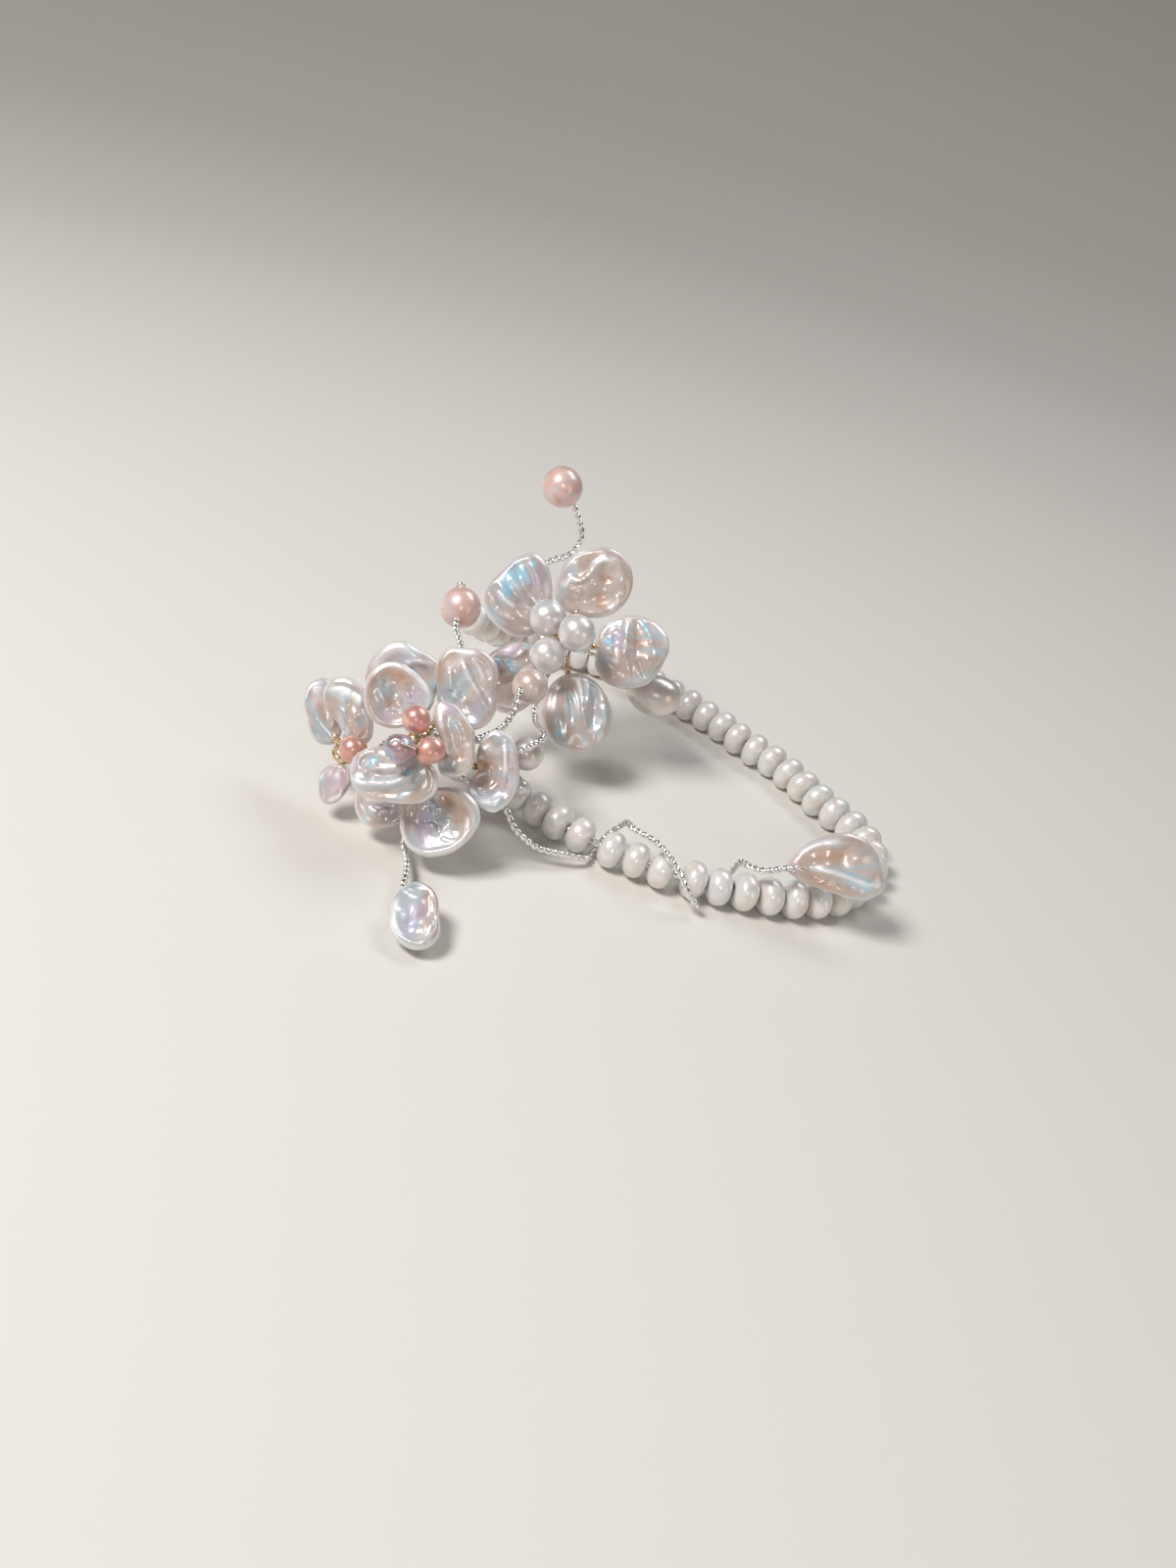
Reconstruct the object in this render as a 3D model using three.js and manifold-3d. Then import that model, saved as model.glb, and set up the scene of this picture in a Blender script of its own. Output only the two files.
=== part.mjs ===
// Open wire bangle strung with button pearls, with a spray of three petal-pearl flowers.
// Units are millimetres, +Z up, the front toward -Y. The bangle lies flat on its beads.
import * as THREE from "three";
import Module from "manifold-3d";

// Driving sizes. The bead's size drives the bangle, and the spray's own lists drive the flowers.
const beadRadius = 2.15;
const beadThickness = 2.75;
const beadPitch = 2.85;
const firstBead = 5.95;
const wireRadius = 0.36;
const clearance = 0.3;
const beadSides = 10;
const wireSides = 6;
const pearlSides = 12;
const petalSectors = 16;
const petalRings = [0.5, 0.86, 1];
const twistRadius = 0.5;
const vineRadius = 0.42;
const twistPitch = 3;
const twistStep = 0.58;
const hubRadius = 1.15;
const spokeRadius = 0.4;

// The bead centres lie this high, so that each bead's lowest facet is on the floor.
const beadHeight = beadRadius * Math.cos(Math.PI / beadSides);

// The bangle's route, from the spray's end round to the free end: x, y and the height over beadHeight.
const bandRoute = [
  [-21.3, -21.7, 7.6], [-19.5, -19.3, 6], [-16.8, -16.4, 3.3], [-13.9, -14.2, 1.2], [-11.5, -13.8, 0.2], [-9.2, -14.5, 0],
  [-6.6, -15.8, 0], [-4.1, -16.7, 0], [-1.1, -17.4, 0], [2.1, -17.9, 0], [5.2, -18.3, 0], [8.9, -18.1, 0],
  [11.6, -17.9, 0], [14.4, -17.3, 0], [17.1, -16.6, 0], [20.1, -15.6, 0], [22.8, -14.2, 0],
  [25.4, -11.9, 0], [27.7, -8, 0], [28.9, -4, 0], [28.6, -0.4, 0], [26.5, 2.9, 0], [24.8, 4.4, 0],
  [23.1, 5.9, 0], [21.3, 7.8, 0], [19.2, 10.1, 0], [15.6, 13, 0], [13.2, 14.3, 0], [10.9, 16, 0],
  [8.7, 17.8, 0], [6.3, 19.1, 0], [3.9, 20.5, 0], [-3.2, 23.4, 0], [-10.5, 24.5, 0], [-16.4, 22.9, 0.6],
  [-20, 19.7, 2], [-23, 15.1, 4.4], [-25.7, 11, 6.9],
];

// Bare wire after some beads, by the bead's count from the spray's end. The vine passes at the first.
const looseGaps = { 7: 0.85, 10: 0.65 };

// The spray's faces all look the same way: this far up from level, and turned in their own plane.
const sprayLift = 32;
const sprayTurn = 18;

// Each flower's middle.
const hubs = {
  flower_1: [-22.2, -22.9, 10.5],
  flower_2: [-13, 1.3, 14.2],
  flower_3: [-29.3, -21.9, 6.3],
};

// Petals. right, up and out are the middle's place from the flower's middle, in its plane.
// aim is the way the tip points, lean tips it toward the viewer and roll turns it about its length.
// cup lifts the rim and ridge raises a line along the length, in millimetres, and side moves that line.
// The outline is twelve radii from the petal's middle, from the right round by the top.
const petalColumns = ["flower", "name", "right", "up", "out", "aim", "lean", "roll", "thick", "cup", "ridge",
  "side", "outline"];
const petalRows = [
  ["flower_1", "top", -1.4, 6.5, -2.4, 102, 14, 0, 1.9, 0.5, 0.2, 0,
    [3.5, 3.9, 3.4, 4, 4.1, 4, 4, 3.3, 3.1, 3.1, 3.1, 3.3]],
  ["flower_1", "peach_cup", -1.3, 4.6, 0.7, 104, 8, 0, 1.8, 0.9, 0, 0,
    [3.2, 2.8, 2.8, 3.4, 3.8, 3.8, 3.7, 3.7, 3.3, 2.9, 2.7, 2.9]],
  ["flower_1", "upright", 4.8, 5.7, -0.9, 66, 6, 0, 2, 0.5, 0.35, 0.2,
    [2.9, 3.7, 4, 3.9, 4.3, 3.5, 2.9, 3.2, 3.7, 4.2, 4.2, 3.5]],
  ["flower_1", "kidney", 4, 0.4, 1.4, 82, 0, 0, 1.9, 0.5, -0.3, 0.2,
    [1.9, 2.1, 2.3, 3.4, 4, 2.1, 1.4, 1.7, 3.4, 3.6, 3.2, 2.2]],
  ["flower_1", "ridged", 7.5, -2.7, -1, 285, 4, 0, 1.9, 0.7, -0.4, 0,
    [2.6, 2.8, 3.8, 4.2, 3, 1.9, 1.6, 3, 3.5, 4, 3.3, 2.8]],
  ["flower_1", "wide", -1.8, -2.7, 2.5, 187, 0, 0, 1.9, 0.4, 0.3, 0.3,
    [4.1, 3, 2.4, 2.2, 2.7, 3.9, 4.2, 4, 3.1, 3, 3.5, 4.5]],
  ["flower_1", "bottom_cup", 2.2, -7.5, -0.2, 283, 6, 0, 2, 1, 0, 0,
    [4.1, 4.1, 3.7, 3.3, 3.3, 3.7, 3.8, 3.9, 3.9, 3.5, 3.4, 3.5]],
  ["flower_1", "lower_left", -3.4, -5.2, -1.7, 236, 4, 0, 1.7, 0.5, 0, 0,
    [2.7, 2.5, 2.7, 2.7, 2.9, 3, 2.9, 3.2, 3.3, 3, 3, 2.8]],
  ["flower_2", "left_triangle", -5, 5.6, -0.3, 128, 8, 0, 2.1, 0.3, 0.3, 0.2,
    [4.1, 4.4, 5.1, 4, 3, 3.1, 3.9, 4.2, 4.4, 5, 5, 4.4]],
  ["flower_2", "low_left", -5.5, -3, -0.9, 202, 6, 0, 1.9, 0.4, 0, 0,
    [3.7, 3.7, 3.5, 3, 2.8, 3.2, 3.4, 4, 5, 5.2, 4.4, 3.6]],
  ["flower_2", "top", 3.7, 6.8, -0.3, 68, 8, 0, 2, 0.5, 0.2, 0,
    [4.6, 4.6, 4.4, 3.9, 3.8, 3.9, 4.2, 4.6, 4.2, 4, 4.2, 4.4]],
  ["flower_2", "right_ridge", 8.2, -1.1, -0.2, 352, 6, 0, 2.1, 0.4, 0.45, 0.1,
    [4.2, 4.4, 4.1, 4.2, 4.4, 4.6, 4.1, 4.7, 4.5, 4.2, 4.1, 3.8]],
  ["flower_2", "bottom", 2, -8, 0.1, 278, 4, 0, 2.1, 0.5, 0.5, 0.2,
    [3.9, 3.7, 4, 4.4, 4.5, 4.2, 4.4, 4.4, 4.6, 4.7, 4.6, 4.2]],
  ["flower_3", "left", -2.3, 3.5, -1, 112, 4, 14, 1.8, 0.4, 0.2, 0,
    [1.7, 2, 3.2, 4.1, 3.6, 2.3, 1.6, 1.8, 2.3, 2.7, 2.7, 2]],
  ["flower_3", "right", 0.7, 3.7, 1.2, 95, 8, -10, 1.8, 0.5, 0.2, 0,
    [2.4, 2.3, 3.2, 3.8, 3.9, 2.9, 1.8, 1.3, 1.5, 2.4, 3.4, 2.9]],
  ["flower_3", "low", -0.9, -3.5, 0.2, 262, 4, 0, 1.7, 0.4, 0, 0,
    [1.4, 2, 2.4, 2.4, 2.2, 1.9, 1.7, 1.8, 1.9, 1.6, 1.3, 1.2]],
];

// Round pearls at the flowers' middles and on their wires: the plane's place, or a place of their own.
const stamenColumns = ["flower", "name", "right", "up", "out", "radius"];
const stamenRows = [
  ["flower_1", "coral", 0.5, 2.3, 3.5, 1.42],
  ["flower_1", "mauve", -0.8, -0.5, 5.5, 1.45],
  ["flower_1", "peach", 1.9, -0.7, 4, 1.42],
  ["flower_2", "left_pearl", -1.35, 2.4, 2.5, 2.1],
  ["flower_2", "right_pearl", 1.9, 0.4, 4.9, 2.1],
  ["flower_2", "low_pearl", -1.35, -1.95, 3.4, 2.05],
  ["flower_3", "coral", 1.5, 0.2, 3.3, 1.4],
];
const pearlColumns = ["name", "x", "y", "z", "radius", "stretch", "aim"];
const pearlRows = [
  ["blush_pearl", -14.2, -8, 12.5, 1.95, 1, 0],
  ["oval_pearl", -0.7, 5.4, 9.4, 2.5, 1.36, 345],
  ["grey_pearl", -12, -16, 9.2, 1.75, 1, 0],
  ["small_grey_pearl", -11.5, -18.2, 6.4, 0.95, 1, 0],
  ["pink_pearl_high", -17.9, 7.3, 29.5, 2.3, 1, 0],
  ["pink_pearl_left", -23.8, -5.9, 17.9, 2.2, 1, 0],
];

// Flat keshi pearls on their own wires. right and up are the ways of the outline on each one's face.
const keshiColumns = ["name", "place", "right", "up", "aim", "thick", "cup", "ridge", "side", "outline"];
const keshiRows = [
  ["drop_keshi", [-16.3, -37.7, 2.2], [0.95, 0.26, 0.15], [-0.28, 0.9, 0.33], 90, 2, 0.35, 0, 0,
    [2.2, 2.5, 3.2, 3.6, 3, 2.5, 2.2, 2.5, 2.9, 3.4, 3.4, 2.7]],
  ["leaf_keshi", [22.3, -15.9, 7.6], [0.951, 0.164, 0.262], [-0.309, 0.504, 0.807], 0, 2.1, 0.2, -0.3, -0.35,
    [4.8, 4.4, 4, 3.6, 3.6, 4.1, 5.2, 3.5, 2.7, 2.8, 3.8, 5.6]],
];

// Twisted wires of two strands. A point is x, y and z, or a flower and its right, up and out.
const vineRoute = [
  ["flower_1", 1.6, -1.2, -1.2], ["flower_1", 4, -3, -2.9], ["flower_1", 7, -5.2, -4.2], [-12.1, -21.4, 5.4],
  [-10.8, -22.2, 4.2], [-9.6, -22, 3.2], [-8.1, -21.5, 2.2], [-6.3, -20.9, 1.8], [-4.4, -20.1, 1.5],
  [-2.9, -19.1, 0.95], [-2.5, -18.2, 0.6], [-2.25, -17, 0.55], [-2, -15.8, 0.7], [-1.3, -14.4, 1.5],
  [-0.4, -14.1, 2.9], [0.2, -15.2, 4.4], [0.9, -17, 5.2], [1.9, -18, 5.5], [3.4, -18.6, 5.5],
  [4.9, -19.7, 5.3], [6, -20.5, 4.8], [7.1, -21.1, 3.9], [8.1, -21.5, 2.8], [8.9, -21.5, 1.9], [9.7, -21.4, 1.4],
];
const leafStemRoute = [
  [12.6, -14.2, 1.6], [13.1, -14.8, 3.8], [14, -16.7, 4.9], [15.3, -17.7, 5.6], [17, -17.4, 6.3], [19, -17, 7],
];
const sprayStemRoute = [
  ["flower_1", 0, 0, 0], ["flower_1", 2, 1, -2.6], ["flower_1", 5.4, 0.6, -3.6], ["flower_1", 9.4, -0.6, -4],
  ["flower_1", 12, 0.6, -5], ["flower_2", -2.7, -9.2, 3], ["flower_2", -2.8, -7, -0.4], ["flower_2", -1.8, -4, -2.6],
  ["flower_2", 0, 0, 0],
];
const blushStemRoute = [
  ["flower_1", 5.4, 0.6, -3.6], ["flower_1", 7.4, 1.7, -7.5], ["flower_1", 8, 2.4, -9.6], ["flower_1", 8.6, 3.4, -10.3],
  ["flower_1", 9.2, 4.8, -10], ["flower_1", 9.6, 6, -9.9], ["flower_1", 10.5, 6.6, -11.6],
];
const ovalStemRoute = [
  ["flower_2", 0, 0, 0], ["flower_2", 4.2, -3.4, -2.8], ["flower_2", 8, -5.2, -4.8], ["flower_2", 11.3, -5.7, -6],
];
const highStemRoute = [
  ["flower_2", 0, 0, 0], ["flower_2", -1.6, 3, -2.7], ["flower_2", -2.8, 6.5, -3.3], ["flower_2", -2.6, 8.8, -2.7],
  ["flower_2", -1, 9.6, -1.6], ["flower_2", 0.7, 9.9, -0.6], ["flower_2", 1.9, 10.8, 0.2],
  ["flower_2", 2.4, 12.2, 1.2], ["flower_2", 2, 13.8, 2], ["flower_2", 1.4, 15.2, 2.6],
  ["flower_2", 0.3, 16.9, 3],
];
const leftStemRoute = [
  ["flower_1", 0, 0, 0], ["flower_1", 1.6, 2, -2.8], ["flower_1", 3.3, 6, -3.6], ["flower_1", 3.8, 10, -5.4],
  ["flower_1", 3, 12.6, -8], ["flower_1", 3.2, 15, -10.5],
];
const dropStemRoute = [
  ["flower_1", 0, 0, 0], ["flower_1", -0.9, -3.4, -2.3], ["flower_1", -0.9, -7, -2.4], ["flower_1", -1.5, -9.6, -1.6],
  [-19.6, -28.8, 1.4], [-18.9, -31.2, 1.6], [-18.6, -33.4, 1.8], [-18, -35, 2], [-16.3, -37.7, 2.2],
];
const linkRoute = [
  ["flower_1", 0, 0, 0], ["flower_1", -3, 0.4, -2], ["flower_3", 2.4, 0, -1.8], ["flower_3", 0.8, 0, -1.5],
  ["flower_3", 0, 0, 0],
];
const greyStemRoute = [["flower_1", 9.4, -0.6, -4], ["flower_1", 10.2, -0.6, -5], ["flower_1", 10.5, -0.7, -6.5]];
const smallGreyStemRoute = [["flower_1", 9.4, -0.6, -4], ["flower_1", 9.2, -2.4, -5], ["flower_1", 9.9, -3.7, -6.5]];

const toRadians = Math.PI / 180;

/** Turn rows of a table into objects with the column names. */
function readTable(columns, rows) {
  return rows.map((row) => Object.fromEntries(columns.map((name, index) => [name, row[index]])));
}

/** The spray's own right, up and out directions. */
function sprayAxes() {
  const lift = sprayLift * toRadians;
  const turn = sprayTurn * toRadians;
  const level = new THREE.Vector3(1, 0, 0);
  const rise = new THREE.Vector3(0, Math.sin(lift), Math.cos(lift));
  const out = new THREE.Vector3(0, -Math.cos(lift), Math.sin(lift));
  const right = level.clone().multiplyScalar(Math.cos(turn)).addScaledVector(rise, Math.sin(turn));
  const up = rise.clone().multiplyScalar(Math.cos(turn)).addScaledVector(level, -Math.sin(turn));
  return { right, up, out };
}

/** A closed mesh from points and triangles, turned inside out if it faces inward. */
function closedGeometry(points, triangles) {
  let volume = 0;
  const cross = new THREE.Vector3();
  for (const [a, b, c] of triangles) {
    volume += points[a].dot(cross.crossVectors(points[b], points[c]));
  }
  const flat = triangles.flatMap(([a, b, c]) => (volume < 0 ? [a, c, b] : [a, b, c]));
  const geometry = new THREE.BufferGeometry();
  const numbers = points.flatMap((point) => [point.x, point.y, point.z]);
  geometry.setAttribute("position", new THREE.Float32BufferAttribute(numbers, 3));
  geometry.setIndex(flat);
  return geometry;
}

/** Join rings of equal count into a tube whose two ends close on a middle point each. */
function ringsGeometry(rings, first, last) {
  const count = rings[0].length;
  const points = rings.flat();
  const triangles = [];
  for (let ring = 0; ring + 1 < rings.length; ring += 1) {
    for (let side = 0; side < count; side += 1) {
      const next = (side + 1) % count;
      const a = ring * count + side;
      const b = ring * count + next;
      triangles.push([a, b, b + count], [a, b + count, a + count]);
    }
  }
  points.push(first, last);
  const end = (rings.length - 1) * count;
  for (let side = 0; side < count; side += 1) {
    const next = (side + 1) % count;
    triangles.push([points.length - 2, next, side], [points.length - 1, end + side, end + next]);
  }
  return closedGeometry(points, triangles);
}

/** A route's point, which is a place or a flower and a place in its plane. */
function routePoint(point) {
  if (typeof point[0] === "string") {
    return inSpray(point[0], sprayAxes(), point[1], point[2], point[3]);
  }
  return new THREE.Vector3(...point);
}

/** A smooth route through points. */
function smoothRoute(points) {
  const curve = new THREE.CatmullRomCurve3(points.map(routePoint), false, "centripetal");
  curve.arcLengthDivisions = 600;
  return curve;
}

/** The level side and the rise at a place of a route, square to the way on. */
function levelFrame(curve, share) {
  const way = curve.getTangentAt(share);
  const side = new THREE.Vector3().crossVectors(way, new THREE.Vector3(0, 0, 1)).normalize();
  const rise = new THREE.Vector3().crossVectors(side, way).normalize();
  return { way, side, rise };
}

/** One ring of points about a place. */
function ringAt(place, side, rise, count, radiusOf, start) {
  const ring = [];
  for (let index = 0; index < count; index += 1) {
    const angle = start + (2 * Math.PI * index) / count;
    const radius = radiusOf(angle);
    ring.push(place.clone().addScaledVector(side, radius * Math.cos(angle))
      .addScaledVector(rise, radius * Math.sin(angle)));
  }
  return ring;
}

/** Where the beads' middles are, as lengths along the bangle. */
function beadPlaces(length) {
  const places = [];
  let at = firstBead;
  while (at < length - beadThickness / 2) {
    places.push(at);
    at += beadPitch + (looseGaps[places.length] ?? 0);
  }
  return places;
}

/** The bangle's core wire with its button pearls, as one body. */
function bandGeometry() {
  const curve = smoothRoute(bandRoute.map(([x, y, rise]) => [x, y, beadHeight + rise]));
  const length = curve.getLength();
  const half = beadThickness / 2;
  const profile = [[-1, wireRadius / beadRadius], [-0.84, 0.72], [-0.34, 1], [0.34, 1], [0.84, 0.72],
    [1, wireRadius / beadRadius]];
  const stations = [[0, wireRadius]];
  for (const place of beadPlaces(length)) {
    for (const [along, share] of profile) {
      stations.push([place + along * half, share * beadRadius]);
    }
  }
  stations.push([length, wireRadius]);
  const start = Math.PI / beadSides - Math.PI / 2;
  const rings = stations.map(([at, radius]) => {
    const share = Math.min(1, Math.max(0, at / length));
    const { side, rise } = levelFrame(curve, share);
    const middle = curve.getPointAt(share);
    middle.z = Math.max(middle.z, beadHeight);
    return ringAt(middle, side, rise, beadSides, () => radius, start);
  });
  return ringsGeometry(rings, curve.getPointAt(0), curve.getPointAt(1));
}

/** A two-strand twisted wire along a route, as one lobed body. */
function twistGeometry(route, radius = twistRadius) {
  const curve = smoothRoute(route);
  const length = curve.getLength();
  const count = Math.max(4, Math.round(length / twistStep));
  const frames = curve.computeFrenetFrames(count, false);
  const rings = [];
  for (let index = 0; index <= count; index += 1) {
    const share = index / count;
    const spin = (2 * Math.PI * share * length) / twistPitch;
    const lobes = (angle) => radius * (0.8 + 0.2 * Math.cos(2 * (angle - spin)));
    rings.push(ringAt(curve.getPointAt(share), frames.normals[index], frames.binormals[index],
      wireSides, lobes, spin));
  }
  return ringsGeometry(rings, curve.getPointAt(0), curve.getPointAt(1));
}

/** A straight round wire between two points. */
function rodGeometry(from, to, radius) {
  const way = to.clone().sub(from).normalize();
  const other = Math.abs(way.z) < 0.9 ? new THREE.Vector3(0, 0, 1) : new THREE.Vector3(1, 0, 0);
  const side = new THREE.Vector3().crossVectors(way, other).normalize();
  const rise = new THREE.Vector3().crossVectors(side, way);
  const rings = [from, to].map((place) => ringAt(place, side, rise, wireSides, () => radius, 0));
  return ringsGeometry(rings, from, to);
}

/** A round or stretched pearl, its poles along the given way. */
function pearlGeometry(place, radius, stretch, way) {
  const other = Math.abs(way.z) < 0.9 ? new THREE.Vector3(0, 0, 1) : new THREE.Vector3(1, 0, 0);
  const side = new THREE.Vector3().crossVectors(way, other).normalize();
  const rise = new THREE.Vector3().crossVectors(side, way);
  const rings = [];
  const bands = 6;
  for (let band = 1; band < bands; band += 1) {
    const angle = (Math.PI * band) / bands;
    const middle = place.clone().addScaledVector(way, -radius * stretch * Math.cos(angle));
    rings.push(ringAt(middle, side, rise, pearlSides, () => radius * Math.sin(angle), 0));
  }
  const first = place.clone().addScaledVector(way, -radius * stretch);
  const last = place.clone().addScaledVector(way, radius * stretch);
  return ringsGeometry(rings, first, last);
}

/** The outline's radius at an angle, on a smooth closed curve through the twelve. */
function outlineRadius(outline, angle) {
  const count = outline.length;
  const at = (((angle / (2 * Math.PI)) % 1) + 1) % 1 * count;
  const first = Math.floor(at);
  const part = at - first;
  const [a, b, c, d] = [-1, 0, 1, 2].map((step) => outline[(first + step + count) % count]);
  return b + 0.5 * part * (c - a + part * (2 * a - 5 * b + 4 * c - d + part * (3 * (b - c) + d - a)));
}

/** A flat petal pearl: a lens with a blunt rim, cupped and ridged. grow makes it larger all round. */
function petalGeometry(place, frame, petal, grow = 0) {
  const reach = Math.max(...petal.outline);
  const aim = petal.aim * toRadians;
  const at = (share, angle, way) => {
    const radius = share * (outlineRadius(petal.outline, angle) + grow);
    const right = radius * Math.cos(angle);
    const up = radius * Math.sin(angle);
    const u = (right * Math.cos(aim) + up * Math.sin(aim)) / reach;
    const v = (up * Math.cos(aim) - right * Math.sin(aim)) / reach;
    const dish = petal.cup * (0.9 * share * share - 0.45);
    const ridge = petal.ridge * Math.exp(-(((v - petal.side) / 0.3) ** 2)) * (1 - u * u * 0.6);
    const blunt = Math.sqrt(Math.max(0, 1 - share ** 3.2));
    const height = dish + ridge + way * (petal.thick / 2 + grow) * blunt;
    return place.clone().addScaledVector(frame.right, right).addScaledVector(frame.up, up)
      .addScaledVector(frame.face, height);
  };
  const ring = (share, way) => Array.from({ length: petalSectors },
    (_, index) => at(share, (2 * Math.PI * index) / petalSectors, way));
  const inner = petalRings.slice(0, -1);
  const rings = [...inner.map((share) => ring(share, 1)), ring(1, 0),
    ...inner.slice().reverse().map((share) => ring(share, -1))];
  return ringsGeometry(rings, at(0, 0, 1), at(0, 0, -1));
}

/** A petal's own right, up and face, from the spray's plane and the petal's tilts. */
function petalFrame(petal, axes) {
  const aim = petal.aim * toRadians;
  const lean = petal.lean * toRadians;
  const roll = petal.roll * toRadians;
  const along = axes.right.clone().multiplyScalar(Math.cos(aim)).addScaledVector(axes.up, Math.sin(aim));
  const side = new THREE.Vector3().crossVectors(axes.out, along).normalize();
  const turn = new THREE.Quaternion().setFromAxisAngle(side, -lean)
    .multiply(new THREE.Quaternion().setFromAxisAngle(along, roll));
  return {
    right: axes.right.clone().applyQuaternion(turn),
    up: axes.up.clone().applyQuaternion(turn),
    face: axes.out.clone().applyQuaternion(turn),
  };
}

/** A place given in a flower's own plane. */
function inSpray(flower, axes, right, up, out) {
  return new THREE.Vector3(...hubs[flower]).addScaledVector(axes.right, right)
    .addScaledVector(axes.up, up).addScaledVector(axes.out, out);
}

const kernel = await Module();
kernel.setup();
const { Manifold, Mesh } = kernel;

/** A three.js mesh body as a solid for the boolean tool. */
function toSolid(geometry) {
  const mesh = new Mesh({
    numProp: 3,
    vertProperties: new Float32Array(geometry.getAttribute("position").array),
    triVerts: new Uint32Array(geometry.getIndex().array),
  });
  mesh.merge();
  return new Manifold(mesh);
}

/** A solid back as a three.js mesh body. */
function toGeometry(solid) {
  const mesh = solid.getMesh();
  const geometry = new THREE.BufferGeometry();
  geometry.setAttribute("position", new THREE.Float32BufferAttribute(mesh.vertProperties, 3));
  geometry.setIndex(Array.from(mesh.triVerts));
  return geometry;
}

/** Fuse bodies, cut them back from the others' grown shapes, and keep the largest piece. */
function fuse(geometries, cutters) {
  const whole = Manifold.union(geometries.map(toSolid));
  const cut = cutters.length > 0 ? whole.subtract(Manifold.union(cutters.map(toSolid))) : whole;
  const parts = cut.decompose().sort((a, b) => b.volume() - a.volume());
  return toGeometry(parts[0]);
}

const materials = {
  button_pearl: new THREE.MeshStandardMaterial({ color: 0xe9e2e6, roughness: 0.25, metalness: 0 }),
  petal_pearl: new THREE.MeshStandardMaterial({ color: 0xdcd0d4, roughness: 0.25, metalness: 0 }),
  round_pearl: new THREE.MeshStandardMaterial({ color: 0xe6d8d8, roughness: 0.2, metalness: 0 }),
  blush_pearl: new THREE.MeshStandardMaterial({ color: 0xd9938a, roughness: 0.2, metalness: 0 }),
  silver_wire: new THREE.MeshStandardMaterial({ color: 0xc9c6c0, roughness: 0.25, metalness: 1 }),
};

const group = new THREE.Group();
group.name = "pearl_bangle";

/** Add one named body to the object. */
function addBody(name, geometry, material) {
  geometry.computeVertexNormals();
  const mesh = new THREE.Mesh(geometry, materials[material]);
  mesh.name = name;
  group.add(mesh);
}

const axes = sprayAxes();
const petals = readTable(petalColumns, petalRows);
const stamens = readTable(stamenColumns, stamenRows);
const pearls = readTable(pearlColumns, pearlRows);
const keshis = readTable(keshiColumns, keshiRows);
const grown = { petals: [], pearls: [] };
const spokes = { flower_1: [], flower_2: [], flower_3: [] };

for (const petal of petals) {
  const place = inSpray(petal.flower, axes, petal.right, petal.up, petal.out);
  const frame = petalFrame(petal, axes);
  addBody(`${petal.flower}_petal_${petal.name}`, petalGeometry(place, frame, petal), "petal_pearl");
  grown.petals.push(petalGeometry(place, frame, petal, clearance));
  const hub = new THREE.Vector3(...hubs[petal.flower]);
  spokes[petal.flower].push(rodGeometry(hub, place, spokeRadius));
}

for (const stamen of stamens) {
  const place = inSpray(stamen.flower, axes, stamen.right, stamen.up, stamen.out);
  const blush = stamen.flower !== "flower_2";
  addBody(`${stamen.flower}_stamen_${stamen.name}`, pearlGeometry(place, stamen.radius, 1, axes.out),
    blush ? "blush_pearl" : "round_pearl");
  grown.pearls.push(pearlGeometry(place, stamen.radius + clearance, 1, axes.out));
  const hub = new THREE.Vector3(...hubs[stamen.flower]);
  spokes[stamen.flower].push(rodGeometry(hub, place, spokeRadius));
}

for (const pearl of pearls) {
  const place = new THREE.Vector3(pearl.x, pearl.y, pearl.z);
  const aim = pearl.aim * toRadians;
  const way = axes.right.clone().multiplyScalar(Math.cos(aim)).addScaledVector(axes.up, Math.sin(aim));
  const tinted = pearl.name.startsWith("pink") || pearl.name.startsWith("blush");
  addBody(pearl.name, pearlGeometry(place, pearl.radius, pearl.stretch, way),
    tinted ? "blush_pearl" : "round_pearl");
  const stretch = (pearl.radius * pearl.stretch + clearance) / (pearl.radius + clearance);
  grown.pearls.push(pearlGeometry(place, pearl.radius + clearance, stretch, way));
}

for (const keshi of keshis) {
  const place = new THREE.Vector3(...keshi.place);
  const right = new THREE.Vector3(...keshi.right).normalize();
  const face = new THREE.Vector3().crossVectors(right, new THREE.Vector3(...keshi.up)).normalize();
  const frame = { right, up: new THREE.Vector3().crossVectors(face, right), face };
  addBody(keshi.name, petalGeometry(place, frame, keshi), "petal_pearl");
  grown.petals.push(petalGeometry(place, frame, keshi, clearance));
}

const cutters = [...grown.petals, ...grown.pearls];
const band = bandGeometry();
addBody("bead_band", band, "button_pearl");

const hubBall = (flower) => pearlGeometry(new THREE.Vector3(...hubs[flower]), hubRadius, 1, axes.out);
const stems = [dropStemRoute, leftStemRoute, sprayStemRoute, blushStemRoute, ovalStemRoute, highStemRoute,
  greyStemRoute, smallGreyStemRoute, linkRoute];
const hubBalls = Object.keys(hubs).map(hubBall);
addBody("spray_wire", fuse([...hubBalls, ...Object.values(spokes).flat(),
  ...stems.map((route) => twistGeometry(route))], cutters), "silver_wire");
addBody("vine_wire", fuse([twistGeometry(vineRoute, vineRadius)], cutters), "silver_wire");
addBody("leaf_wire", fuse([twistGeometry(leafStemRoute, vineRadius)], cutters), "silver_wire");

// The whole is moved so that its box's middle is over the row's origin.
const box = new THREE.Box3().setFromObject(group);
const shift = box.getCenter(new THREE.Vector3()).negate();
shift.z = -box.min.z;
for (const mesh of group.children) {
  mesh.geometry.translate(shift.x, shift.y, shift.z);
}

export default group;
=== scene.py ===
"""Looks of the open wire bangle with button pearls and a spray of petal-pearl flowers.

Lists in millimetres use the part's own design frame; design_shift() turns them into the row frame.
"""

import logging
import math
from dataclasses import dataclass, field
from enum import Enum

import bmesh
import bpy
import numpy as np
from mathutils import Matrix, Vector


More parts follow.
